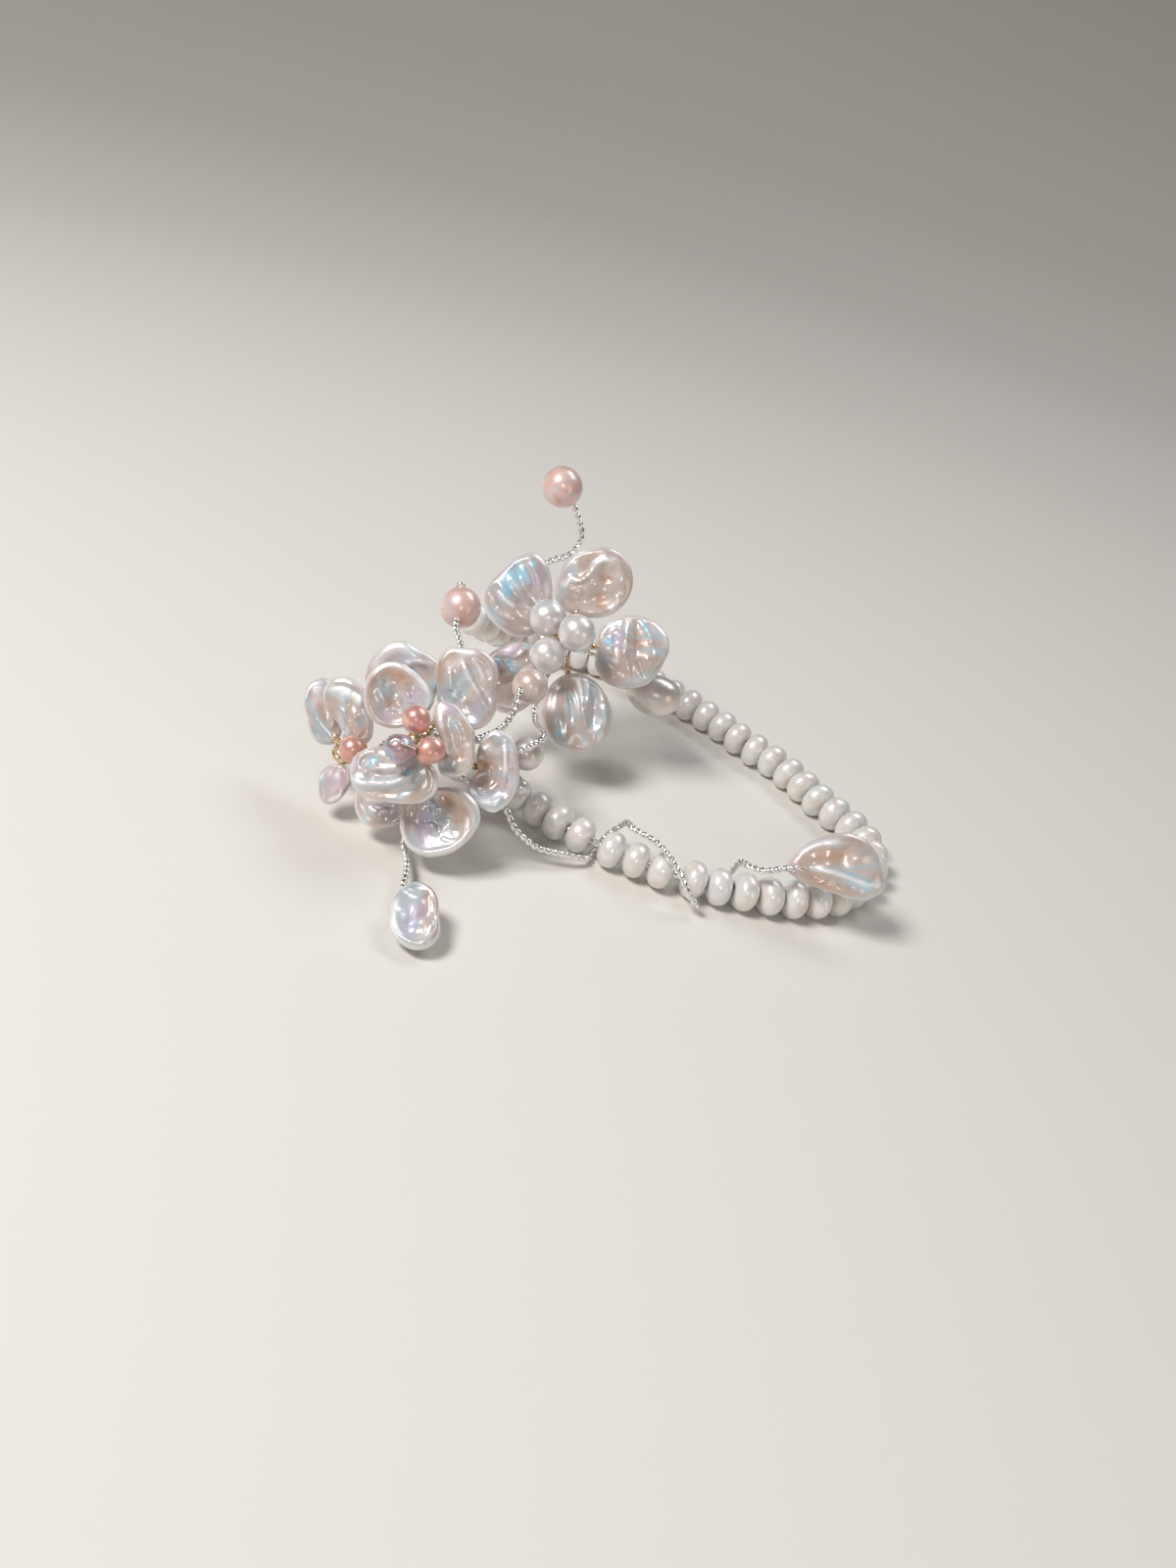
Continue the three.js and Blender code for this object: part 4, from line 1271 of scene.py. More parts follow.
            Glow(Hue.PAINTED_HIGHLIGHT, ((-2.2, 0.2), (-1.2, -0.9), (-0.2, -1.6)), 0.22, 0.9),
            Glow(Hue.LILAC, ((2.2, 2.4), (2.2, 0.4)), 0.7, 0.8),
            Glow(Hue.LILAC, ((-2.7, 1.7), (-0.7, 3.5), (0.8, 4.3)), 0.4, 0.8),
            Glow(Hue.PAINTED_HIGHLIGHT, ((3.4, 1.4), (3.7, -0.4)), 0.38, 0.6),
            Glow(Hue.WARM, ((0.6, -1.6), (-0.6, -3)), 1.0, 0.4),
        ),
    ),
    PetalPearl(
        "flower_2_petal_low_left", seed=21,
        strokes=(
            Stroke(((-2.4, 1.4), (-1, 1.5), (0.6, 1.4), (1.6, 2.4)), 0.3, 0.2),
            Stroke(((-1.8, 0.6), (-1.7, -1.4)), 0.3, 0.2),
            Stroke(((-1, 0.9), (0.1, -0.4), (0.6, -1)), 0.35, 0.2),
        ),
        glows=(
            Glow(Hue.COOL, ((-1.7, 0.9),), 0.5, 1.0),
            Glow(Hue.COOL, ((-0.7, 0.9), (0.3, -0.3)), 0.6, 1.0),
            Glow(Hue.COOL, ((1.7, 2.6),), 0.4, 0.9),
            Glow(Hue.PAINTED_HIGHLIGHT, ((0, 0.3),), 0.38, 0.6),
            Glow(Hue.LILAC, ((-1, 2), (0.8, 2)), 0.9, 0.8),
            Glow(Hue.WARM, ((-0.6, -1.4),), 1.2, 0.5),
        ),
    ),
    PetalPearl(
        "flower_2_petal_top", seed=23, lip=0.12,
        strokes=(
            Stroke(
                (
                    (-3.3, -0.5), (-2.4, 0.4), (-1.4, 0.2), (-0.3, 0.9), (0.3, 1.9), (1.4, 2.5), (2.8, 2.2),
                    (3.4, 1.2),
                ),
                0.35, 0.38,
            ),
            Stroke(((1.6, 0.6),), 0.9, -0.4),
            Stroke(((1.1, -1.4),), 1.0, -0.3),
            Stroke(((2.9, -1.3), (2.7, -2.7), (1.7, -3.3)), 0.35, 0.22),
            Stroke(((-2, -1.2),), 1.0, 0.22),
        ),
        glows=(
            Glow(Hue.PAINTED_HIGHLIGHT, ((-3.3, -0.5), (-2.4, 0.35), (-1.4, 0.15)), 0.31, 1.0),
            Glow(Hue.PAINTED_HIGHLIGHT, ((-0.3, 0.9), (0.3, 1.8), (1.3, 2.5), (2.6, 2.2)), 0.35, 0.9),
            Glow(Hue.LILAC, ((0.3, 2), (1.4, 2.8)), 0.5, 0.8),
            Glow(Hue.WARM, ((1.7, 0.9), (1.4, 0)), 0.8, 0.95),
            Glow(Hue.WARM, ((1.2, -1.2), (0.6, -3)), 0.8, 0.9),
            Glow(Hue.PAINTED_HIGHLIGHT, ((2.9, -1.4), (2.7, -2.6), (1.9, -3.2)), 0.22, 0.6),
        ),
    ),
    PetalPearl(
        "flower_2_petal_right_ridge", seed=25, lip=0.1,
        strokes=(
            Stroke(((-0.4, 4.1), (-0.5, 2.5), (-0.7, 0.7), (-0.8, -1.2)), 0.38, 0.45),
            Stroke(((0.5, 3.6), (0.6, 1.6), (0.6, -0.6)), 0.4, -0.25),
            Stroke(((1, 3.4), (1.9, 2), (2.4, 0.4)), 0.3, 0.22),
            Stroke(((-1.8, 2.8), (-2.4, 1), (-2.3, -0.8)), 0.4, 0.16),
            Stroke(((-1, -1.4), (-2, -3.2)), 0.3, -0.2),
            Stroke(((-0.4, -1.4), (-0.2, -3.9)), 0.3, 0.16),
            Stroke(((0.6, -1), (1.6, -3.2)), 0.35, -0.2),
            Stroke(((1.6, -0.8), (2.8, -2.4)), 0.3, 0.14),
        ),
        glows=(
            Glow(Hue.COOL, ((-2.5, 1.5), (-2.3, 0.6)), 0.7, 1.0),
            Glow(Hue.LILAC, ((-1.6, 2.4), (-1.4, 0.4)), 0.7, 0.9),
            Glow(Hue.PAINTED_HIGHLIGHT, ((-0.4, 4), (-0.5, 2.4)), 0.35, 0.8),
            Glow(Hue.PAINTED_HIGHLIGHT, ((-0.7, 1), (-0.7, 0.2)), 0.31, 0.7),
            Glow(Hue.COOL, ((1.1, 3.3), (2, 1.9)), 0.32, 1.0),
            Glow(Hue.WARM, ((0.7, 2.8), (0.8, 0.2)), 0.5, 0.9),
            Glow(Hue.PAINTED_HIGHLIGHT, ((2.6, 3.2), (3.6, 2.2), (4.1, 0)), 0.38, 0.6),
        ),
    ),
    PetalPearl(
        "flower_2_petal_bottom", seed=27, lip=0.1,
        strokes=(
            Stroke(((-0.9, 3.9), (-0.1, 3.6), (0.35, 2.5), (0.55, 1), (0.5, -0.8)), 0.28, 0.42),
            Stroke(((0.8, 4.1), (1.2, 2.8), (1.2, 1.4), (0.9, -0.2), (0.8, -2)), 0.28, 0.3),
            Stroke(((-0.9, 1.8), (-0.5, -1.2)), 0.35, -0.22),
            Stroke(((1.9, 2.4), (1.9, 0), (1.5, -2)), 0.45, -0.3),
            Stroke(((2.8, 1.8), (3.1, -0.6), (2.2, -2.7)), 0.45, 0.3),
            Stroke(((-2.8, 2.4), (-2.2, 3.3)), 0.4, 0.2),
        ),
        glows=(
            Glow(Hue.PAINTED_HIGHLIGHT, ((-0.9, 3.9), (-0.1, 3.6), (0.35, 2.5), (0.55, 1)), 0.22, 1.0),
            Glow(Hue.PAINTED_HIGHLIGHT, ((0.9, 3.8), (1.2, 2.6)), 0.2, 0.9),
            Glow(Hue.COOL, ((-2.3, -2.3), (-2, -2.8)), 0.6, 1.0),
            Glow(Hue.PAINTED_HIGHLIGHT, ((-0.5, -2.7), (-1, -3.8)), 0.22, 0.9),
            Glow(Hue.PAINTED_HIGHLIGHT, ((-2.8, 2.5), (-2.3, 3.1)), 0.38, 0.9),
            Glow(Hue.WARM, ((1.8, 2), (1.7, -1.4)), 0.45, 0.9),
            Glow(Hue.WARM, ((-1.8, 1.4), (-1.6, -0.8)), 1.0, 0.35),
            Glow(Hue.COOL, ((3.3, 0.7), (3, -1.6)), 0.4, 0.5),
        ),
    ),
    PetalPearl(
        "flower_3_petal_left", seed=29, lip=0.1,
        strokes=(Stroke(((0.9, 2.4), (1, 0.6), (0.8, -1.2)), 0.4, 0.2),),
        glows=(
            Glow(Hue.LILAC, ((0.8, 2.4), (1, 0.4)), 0.6, 0.9),
            Glow(Hue.PAINTED_HIGHLIGHT, ((-1.2, 2.6), (-0.4, 3.3)), 0.38, 0.7),
            Glow(Hue.WARM, ((-0.8, 0.6),), 1.2, 0.5),
        ),
    ),
    PetalPearl(
        "flower_3_petal_right", seed=31, lip=0.1,
        strokes=(
            Stroke(((-1.8, 2.7), (-0.6, 2.5), (0.8, 2), (2, 1.1)), 0.35, 0.28),
            Stroke(((-0.8, 1.6), (0.4, 0), (0.9, -1.6)), 0.3, -0.16),
            Stroke(((0.2, 1.2), (1.2, -0.4)), 0.3, 0.16),
        ),
        glows=(
            Glow(Hue.COOL, ((-1.8, 2.5), (0.6, 1.9)), 0.5, 0.7),
            Glow(Hue.PAINTED_HIGHLIGHT, ((-1.8, 2.8), (-0.6, 2.5), (0.8, 2), (1.8, 1.3)), 0.38, 1.0),
            Glow(Hue.WARM, ((-0.4, 0.8), (0.6, -1)), 0.8, 0.4),
        ),
    ),
    PetalPearl(
        "flower_3_petal_low", seed=33, lip=0.1,
        glows=(
            Glow(Hue.PAINTED_HIGHLIGHT, ((-0.6, -1.4), (1.1, -0.8)), 0.25, 0.9),
            Glow(Hue.LILAC, ((0, 0.6),), 1.2, 0.6),
        ),
    ),
    PetalPearl(
        "drop_keshi", seed=35, lip=0.2,
        strokes=(
            Stroke(((-0.1, -1),), 1.3, -0.3),
            Stroke(((1.4, 2), (1.7, 0.4), (1.5, -1.8)), 0.35, 0.25),
            Stroke(((-1.2, 2.4), (0.2, 1.8), (1.2, 2.4)), 0.3, 0.16),
        ),
        glows=(
            Glow(Hue.COOL, ((0.1, -0.6), (-0.4, -1.2)), 0.7, 0.9),
            Glow(Hue.LILAC, ((-1, -2.2), (0.6, 1)), 0.8, 0.7),
            Glow(Hue.PAINTED_HIGHLIGHT, ((-1.9, 1.4), (-1.9, -1.6), (-1.2, -2.8)), 0.31, 0.9),
            Glow(Hue.WARM, ((0.8, 1.6), (1, -1.6)), 0.5, 0.4),
        ),
    ),
    PetalPearl(
        "leaf_keshi", seed=37, lip=0.1,
        strokes=(
            Stroke(((-3.4, -0.7), (0.5, -1.6), (4.5, -3)), 0.5, -0.25),
            Stroke(((-4.4, 1.2), (-2, 2.4), (1, 2.6)), 0.4, 0.25),
            Stroke(((-2.6, 0), (0.6, -0.8), (3.8, -2)), 0.3, 0.2),
        ),
        glows=(
            Glow(Hue.COOL, ((0.5, -0.6), (3.8, -2.2)), 0.6, 0.9),
            Glow(Hue.PAINTED_HIGHLIGHT, ((-2.6, 0.1), (0.6, -0.8), (3.6, -2)), 0.25, 0.9),
            Glow(Hue.PAINTED_HIGHLIGHT, ((-4.2, 1.4), (-2, 2.5), (0.6, 2.7)), 0.38, 0.7),
            Glow(Hue.WARM, ((-3, 1.2), (1.6, 1.2)), 1.0, 0.8),
            Glow(Hue.WARM, ((-3.6, -0.4), (0, -2.6), (3, -3.6)), 0.7, 0.7),
        ),
    ),
)


# A drill hole's floor, its lip and the skin round it, as shares of the hole's angle, and how deep the two are.
HOLE_ANGLES = (0.8, 0.95, 1.15)
HOLE_DEPTHS = (0.5, 0.08)
# The skin's waves in radii, and from where a hole's axis counts as upright.
SKIN_LENGTH = 1.8
STEEP = 0.9


@dataclass
class RoundPearl:
    """A drilled pearl on its CAD node's own axis and size.

    Attributes:
        node: The CAD node.
        nacre: Its nacre.
        hole: The drill hole's radius, in millimetres.
        uneven: How uneven the surface is, in millimetres.
        front_hole: Whether the drill hole comes out at the front.
        bands: Rings of vertices between the holes.
        sides: Vertices in a ring.
    """

    node: str
    nacre: Nacre
    hole: float = 0.3
    uneven: float = 0.05
    front_hole: bool = True
    bands: int = 40
    sides: int = 56

    def build(self) -> bpy.types.Object:
        """Make the pearl's mesh.

        Returns:
            The pearl.
        """
        poles = read_poles(self.node, OUT)
        way = poles.way
        half = np.linalg.norm(poles.last - poles.first) / 2
        away = poles.places - poles.middle
        radius = np.linalg.norm(away - np.outer(away @ way, way), axis=1).max()
        side = np.cross(way, [0, 0, 1] if abs(way[2]) < STEEP else [1, 0, 0])
        side /= np.linalg.norm(side)
        rise = np.cross(side, way)
        edge = math.asin(self.hole / radius)
        inner = np.array(HOLE_ANGLES[:2]) * edge
        start = HOLE_ANGLES[2] * edge
        angles = np.concatenate([inner, np.linspace(start, math.pi - start, self.bands), math.pi - inner[::-1]])
        sink = np.zeros(len(angles))
        sink[:2] = HOLE_DEPTHS
        if self.front_hole:
            sink[-2:] = HOLE_DEPTHS[::-1]
        turns = np.arange(self.sides) / self.sides * 2 * math.pi
        across = np.sin(angles)[:, None] * radius
        along = (-np.cos(angles) * (half - sink))[:, None]
        rings = (
            poles.middle
            + along[..., None] * way
            + across[..., None] * (np.cos(turns)[:, None] * side + np.sin(turns)[:, None] * rise)[None]
        )
        outward = rings - poles.middle
        flat = outward.reshape(-1, 3)
        seed = sum(map(ord, self.node))
        swell = smooth_noise(flat, SKIN_LENGTH * radius, seed).reshape(rings.shape[:2])
        rings += (outward / np.linalg.norm(outward, axis=2)[..., None]) * (self.uneven * swell)[..., None]
        first = rings[0].mean(axis=0)
        last = rings[-1].mean(axis=0)
        return link_object(f"look_{self.node}", closed_mesh(self.node, rings, first, last))


PEARLS = (
    RoundPearl("flower_1_stamen_coral", CORAL, 0.28, front_hole=False),
    RoundPearl("flower_1_stamen_mauve", MAUVE, 0.28, 0.08, front_hole=False),
    RoundPearl("flower_1_stamen_peach", CORAL, 0.28, 0.1, front_hole=False),
    RoundPearl("flower_3_stamen_coral", CORAL, 0.28, front_hole=False),
    RoundPearl("flower_2_stamen_left_pearl", WHITE, front_hole=False),
    RoundPearl("flower_2_stamen_right_pearl", WHITE, front_hole=False),
    RoundPearl("flower_2_stamen_low_pearl", WHITE, front_hole=False),
    RoundPearl("oval_pearl", CREAM, uneven=0.1),
    RoundPearl("grey_pearl", CREAM),
    RoundPearl("small_grey_pearl", CREAM, 0.22),
    RoundPearl("pink_pearl_high", PINK),
    RoundPearl("pink_pearl_left", PINK),
    RoundPearl("blush_pearl", BLUSH, 0.36),
)


@dataclass
class TwistedWire:
    """Wires of two strands twisted about each other along routes.

    Attributes:
        strand: One strand's radius, in millimetres.
        offset: How far a strand's middle is from the route.
        pitch: The length of one full turn.
        sides: Sides of a strand's round.
        group: The wires' Geometry Nodes tree, once it is made.
    """

    strand: float = 0.2
    offset: float = 0.18
    pitch: float = 1.7
    sides: int = 10
    group: bpy.types.NodeTree | None = field(default=None, repr=False)

    def tree(self) -> bpy.types.NodeTree:
        """The Geometry Nodes tree that twists two strands about a line.

        Returns:
            The tree.
        """
        tree, given = nodes_tree("twisted_wire", {
            "Strand Radius": "Float", "Offset": "Float", "Pitch": "Float", "Material": "Material",
        })
        curve = tree.out("GeometryNodeMeshToCurve", {"Mesh": given.outputs["Geometry"]})
        curve = tree.out("GeometryNodeSetCurveNormal", {"Curve": curve}, mode="MINIMUM_TWIST")
        length = tree.add("GeometryNodeSplineParameter").outputs["Length"]
        turn = tree.math("MULTIPLY", tree.math("DIVIDE", length, given.outputs["Pitch"]), 2 * math.pi)
        normal = tree.out("GeometryNodeInputNormal")
        side = tree.vector("CROSS_PRODUCT", tree.out("GeometryNodeInputTangent"), normal)
        circle = tree.add(
            "GeometryNodeCurvePrimitiveCircle",
            {"Resolution": self.sides, "Radius": given.outputs["Strand Radius"]},
        ).outputs["Curve"]
        strands = tree.add("GeometryNodeJoinGeometry")
        for phase in (0.0, math.pi):
            angle = tree.math("ADD", turn, phase)
            level = tree.scaled(normal, tree.math("COSINE", angle))
            rise = tree.scaled(side, tree.math("SINE", angle))
            away = tree.scaled(tree.vector("ADD", level, rise), given.outputs["Offset"])
            moved = tree.out("GeometryNodeSetPosition", {"Geometry": curve, "Offset": away})
            tube = tree.out(
                "GeometryNodeCurveToMesh", {"Curve": moved, "Profile Curve": circle, "Fill Caps": True},
            )
            tree.tree.links.new(tube, strands.inputs[0])
        made = tree.out("GeometryNodeRealizeInstances", {"Geometry": strands.outputs[0]})
        return tree.close(made, given.outputs["Material"])

    def build(self, name: str, route: list, material: bpy.types.Material) -> bpy.types.Object:
        """Twist a wire along a route.

        Args:
            name: The object's name.
            route: The route's points.
            material: The wire's material.

        Returns:
            The wire.
        """
        if self.group is None:
            self.group = self.tree()
        places = smooth_route(np.array([route_point(point) for point in route]), WIRE_STEP)
        values = {
            "Strand Radius": self.strand * MM, "Offset": self.offset * MM, "Pitch": self.pitch * MM,
            "Material": material,
        }
        return grow(name, line_mesh(name, places), self.group, values)


@dataclass
class PlainWire:
    """Single round wires along routes.

    Attributes:
        radius: The wire's radius, in millimetres.
        sides: Sides of the wire's round.
        group: The wires' Geometry Nodes tree, once it is made.
    """

    radius: float = 0.24
    sides: int = 12
    group: bpy.types.NodeTree | None = field(default=None, repr=False)

    def tree(self) -> bpy.types.NodeTree:
        """The Geometry Nodes tree that gives a line its round section.

        Returns:
            The tree.
        """
        tree, given = nodes_tree("plain_wire", {"Radius": "Float", "Material": "Material"})
        curve = tree.out("GeometryNodeMeshToCurve", {"Mesh": given.outputs["Geometry"]})
        circle = tree.add(
            "GeometryNodeCurvePrimitiveCircle", {"Resolution": self.sides, "Radius": given.outputs["Radius"]},
        ).outputs["Curve"]
        tube = tree.out(
            "GeometryNodeCurveToMesh", {"Curve": curve, "Profile Curve": circle, "Fill Caps": True},
        )
        made = tree.out("GeometryNodeRealizeInstances", {"Geometry": tube})
        return tree.close(made, given.outputs["Material"])

    def build(
        self, name: str, places: np.ndarray, material: bpy.types.Material, closed: bool = False,
        radius: float | None = None,
    ) -> bpy.types.Object:
        """Run a wire through places given in millimetres.

        Args:
            name: The object's name.
            places: The places, one a row.
            material: The wire's material.
            closed: Whether the line closes on itself.
            radius: The wire's radius, where it isn't the usual one.

        Returns:
            The wire.
        """
        if self.group is None:
            self.group = self.tree()
        values = {"Radius": (radius or self.radius) * MM, "Material": material}
        return grow(name, line_mesh(name, places, closed), self.group, values)


@dataclass
class HubWraps:
    """The wire wrapped round a flower's middle, and the spokes to its petals.

    Attributes:
        flower: The flower's name.
        turns: How many loops are wrapped.
        radius: The loops' radius, in millimetres.
        seed: Which tilts the loops have.
        sides: Points in a loop.
        least: The smallest loop, as a share of the radius.
    """

    flower: str
    turns: int = 14
    radius: float = 1.1
    seed: int = 4
    sides: int = 40
    least: float = 0.7

    def build(
        self, wire: PlainWire, twist: TwistedWire, material: bpy.types.Material,
    ) -> list[bpy.types.Object]:
        """Wrap the loops and run the spokes.

        Args:
            wire: The single wire the loops are of.
            twist: The twisted wire the spokes are of.
            material: The wire's material.

        Returns:
            The loops and spokes.
        """
        picks = np.random.default_rng(self.seed)
        hub = np.array(HUBS[self.flower]) + SHIFT
        made = []
        around = np.linspace(0, 2 * math.pi, self.sides, endpoint=False)
        for index in range(self.turns):
            axis = picks.normal(size=3)
            axis /= np.linalg.norm(axis)
            side = np.cross(axis, OUT)
            side /= np.linalg.norm(side)
            rise = np.cross(axis, side)
            size = self.radius * picks.uniform(self.least, 1.0)
            loop = hub + size * (np.cos(around)[:, None] * side + np.sin(around)[:, None] * rise)
            made.append(wire.build(f"{self.flower}_wrap_{index}", loop, material, closed=True))
        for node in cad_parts:
            if node.startswith(f"{self.flower}_petal"):
                route = [tuple(hub - SHIFT), tuple(read_poles(node, OUT).middle - SHIFT)]
                made.append(twist.build(f"{node}_spoke", route, material))
        return made


# A button pearl's drill hole at its lip and its floor, in millimetres, and how much
# thicker it is than named.
BEAD_HOLE_RADII = (0.5, 0.42)
BEAD_HOLE_DEPTHS = (0.1, 0.7)
BEAD_SWELL = 1.02
# The beads at which the width is the least, the least with the growth added, and full.
SLIM_BEADS = (0, 9, 14)
SLIM_GROWTH = 0.03
# A bead's greatest turn about the wire, its greatest growth in shares of the spread, and its skin's noise.
SPIN = 3.1
BEAD_GROWTH = (0.2, 0.6, 0.6)
SKIN_SCALE = 420.0
SKIN_MIDDLE = 0.55


@dataclass
class BeadBand:
    """The bangle's core wire with its button pearls.

    Attributes:
        sides: Sides of a bead's round.
        tilt: The greatest tilt of a bead off the wire, in radians.
        spread: How far sizes go from the middle size, as a share.
        least: How wide the beads next to the spray are, as a share.
        unevenness: How uneven a bead's skin is, in millimetres.
        squareness: How blunt a bead is towards its holes.
        fullness: How full a bead is round its middle.
        steps: Points of a bead's half section, with its two poles.
        seed: Which tilts and sizes.
    """

    sides: int = 44
    tilt: float = 0.1
    spread: float = 0.035
    least: float = 0.9
    unevenness: float = 0.1
    squareness: float = 0.85
    fullness: float = 0.78
    steps: int = 27
    seed: int = 8

    def route(self) -> np.ndarray:
        """The bangle's middle line.

        Returns:
            Even samples in row-frame millimetres, one a row.
        """
        points = np.array([(x, y, BEAD_HEIGHT + rise) for x, y, rise in BAND_ROUTE]) + SHIFT
        line = smooth_route(points, BAND_STEP)
        line[:, 2] = np.maximum(line[:, 2], BEAD_HEIGHT)
        return line

    def places(self, length: float) -> list[float]:
        """Where the beads' middles are.

        Args:
            length: The bangle's length, in millimetres.

        Returns:
            Lengths along the bangle.
        """
        found: list[float] = []
        at = FIRST_BEAD
        while at < length - BEAD_THICKNESS / 2:
            found.append(at)
            at += BEAD_PITCH + LOOSE_GAPS.get(len(found), 0)
        return found

    def bead(self) -> bpy.types.Object:
        """One button pearl about the X axis, with a drill hole at each end.

        Returns:
            The pearl that is strung.
        """
        half = BEAD_THICKNESS / 2 * BEAD_SWELL
        turn = np.linspace(-1, 1, self.steps) * math.pi / 2
        along = np.sign(np.sin(turn)) * np.abs(np.sin(turn)) ** self.squareness * half
        across = np.cos(turn) ** self.fullness * BEAD_RADIUS
        along, across = along[1:-1], across[1:-1]
        lips = np.array(BEAD_HOLE_RADII)
        floor = half - np.array(BEAD_HOLE_DEPTHS)
        along = np.concatenate([-floor[::-1], along, floor])
        across = np.concatenate([lips[::-1], across, lips])
        turns = np.arange(self.sides) / self.sides * 2 * math.pi
        rings = np.stack([
            np.repeat(along[:, None], self.sides, axis=1),
            across[:, None] * np.cos(turns), across[:, None] * np.sin(turns),
        ], axis=2)
        mesh = closed_mesh("bead_template", rings, rings[0].mean(axis=0), rings[-1].mean(axis=0))
        return link_object("bead_template", mesh)

    def tree(self) -> bpy.types.NodeTree:
        """The Geometry Nodes tree that strings beads on points.

        Returns:
            The tree.
        """
        tree, given = nodes_tree("bead_string", {
            "Bead": "Object", "Tilt": "Float", "Spread": "Float", "Unevenness": "Float", "Seed": "Int",
            "Material": "Material",
        })
        out = given.outputs
        points = tree.out("GeometryNodeMeshToPoints", {"Mesh": out["Geometry"]})
        way = tree.add(
            "GeometryNodeInputNamedAttribute", {"Name": "way"}, data_type="FLOAT_VECTOR",
        ).outputs["Attribute"]
        turned = tree.out("FunctionNodeAlignRotationToVector", {"Vector": way}, axis="X")
        spin = tree.add(
            "FunctionNodeRandomValue",
            {"Min": (-SPIN, -1.0, -1.0), "Max": (SPIN, 1.0, 1.0), "Seed": out["Seed"]},
            data_type="FLOAT_VECTOR",
        ).outputs["Value"]
        share = tree.out("ShaderNodeCombineXYZ", {0: 1.0, 1: out["Tilt"], 2: out["Tilt"]})
        tilt = tree.out("FunctionNodeEulerToRotation", {0: tree.vector("MULTIPLY", spin, share)})
        turned = tree.out(
            "FunctionNodeRotateRotation", {"Rotation": turned, "Rotate By": tilt}, rotation_space="LOCAL",
        )
        slim = tree.out("GeometryNodeInputNamedAttribute", {"Name": "slim"}, data_type="FLOAT")
        waist = tree.out("ShaderNodeCombineXYZ", {0: 1.0, 1: slim, 2: slim})
        again = tree.math("ADD", out["Seed"], 1)
        size = tree.add(
            "FunctionNodeRandomValue", {"Min": (-1.0,) * 3, "Max": BEAD_GROWTH, "Seed": again},
            data_type="FLOAT_VECTOR",
        ).outputs["Value"]
        size = tree.vector("ADD", tree.scaled(size, out["Spread"]), (1.0, 1.0, 1.0))
        size = tree.vector("MULTIPLY", size, waist)
        bead = tree.add("GeometryNodeObjectInfo", {"Object": out["Bead"]}).outputs["Geometry"]
        strung = tree.out(
            "GeometryNodeInstanceOnPoints",
            {"Points": points, "Instance": bead, "Rotation": turned, "Scale": size},
        )
        third = tree.math("ADD", out["Seed"], 2)
        pick = tree.add("FunctionNodeRandomValue", {"Seed": third}, data_type="FLOAT")
        strung = tree.out(
            "GeometryNodeStoreNamedAttribute",
            {"Geometry": strung, "Name": "shade", "Value": pick.outputs[1]},
            data_type="FLOAT", domain="INSTANCE",
        )
        solid = tree.out("GeometryNodeRealizeInstances", {"Geometry": strung})
        here = tree.out("GeometryNodeInputPosition")
        noise = tree.noise(here, SKIN_SCALE, 1.0)
        push = tree.math("MULTIPLY", tree.math("SUBTRACT", noise, SKIN_MIDDLE), out["Unevenness"])
        normal = tree.out("GeometryNodeInputNormal")
        solid = tree.out(
            "GeometryNodeSetPosition", {"Geometry": solid, "Offset": tree.scaled(normal, push)},
        )
        return tree.close(solid, out["Material"])

    def build(self, material: bpy.types.Material) -> bpy.types.Object:
        """String the beads.

        Args:
            material: The beads' nacre.

        Returns:
            The beads as one plain mesh.
        """
        line = self.route()
        ways = np.gradient(line, axis=0)
        ways /= np.linalg.norm(ways, axis=1)[:, None]
        lengths = np.concatenate([[0], np.cumsum(np.linalg.norm(np.diff(line, axis=0), axis=1))])
        picked = [int(np.searchsorted(lengths, at)) for at in self.places(lengths[-1])]
        mesh = bpy.data.meshes.new("bead_places")
        mesh.from_pydata((line[picked] * MM).tolist(), [], [])
        layer = mesh.attributes.new("way", "FLOAT_VECTOR", "POINT")
        layer.data.foreach_set("vector", ways[picked].ravel())
        widths = (self.least, self.least + SLIM_GROWTH, 1)
        slim = np.interp(np.arange(len(picked)), SLIM_BEADS, widths)
        mesh.attributes.new("slim", "FLOAT", "POINT").data.foreach_set("value", slim)
        template = self.bead()
        values = {
            "Bead": template, "Tilt": self.tilt, "Spread": self.spread, "Unevenness": self.unevenness * MM,
            "Seed": self.seed, "Material": material,
        }
        strung = grow("look_bead_band", mesh, self.tree(), values)
        bpy.data.objects.remove(template)
        return strung


STEM_ROUTES = {
    "spray_stem": SPRAY_STEM_ROUTE, "blush_stem": BLUSH_STEM_ROUTE, "oval_stem": OVAL_STEM_ROUTE,
    "high_stem": HIGH_STEM_ROUTE, "left_stem": LEFT_STEM_ROUTE, "drop_stem": DROP_STEM_ROUTE,
    "link": LINK_ROUTE, "grey_stem": GREY_STEM_ROUTE, "small_grey_stem": SMALL_GREY_STEM_ROUTE,
}


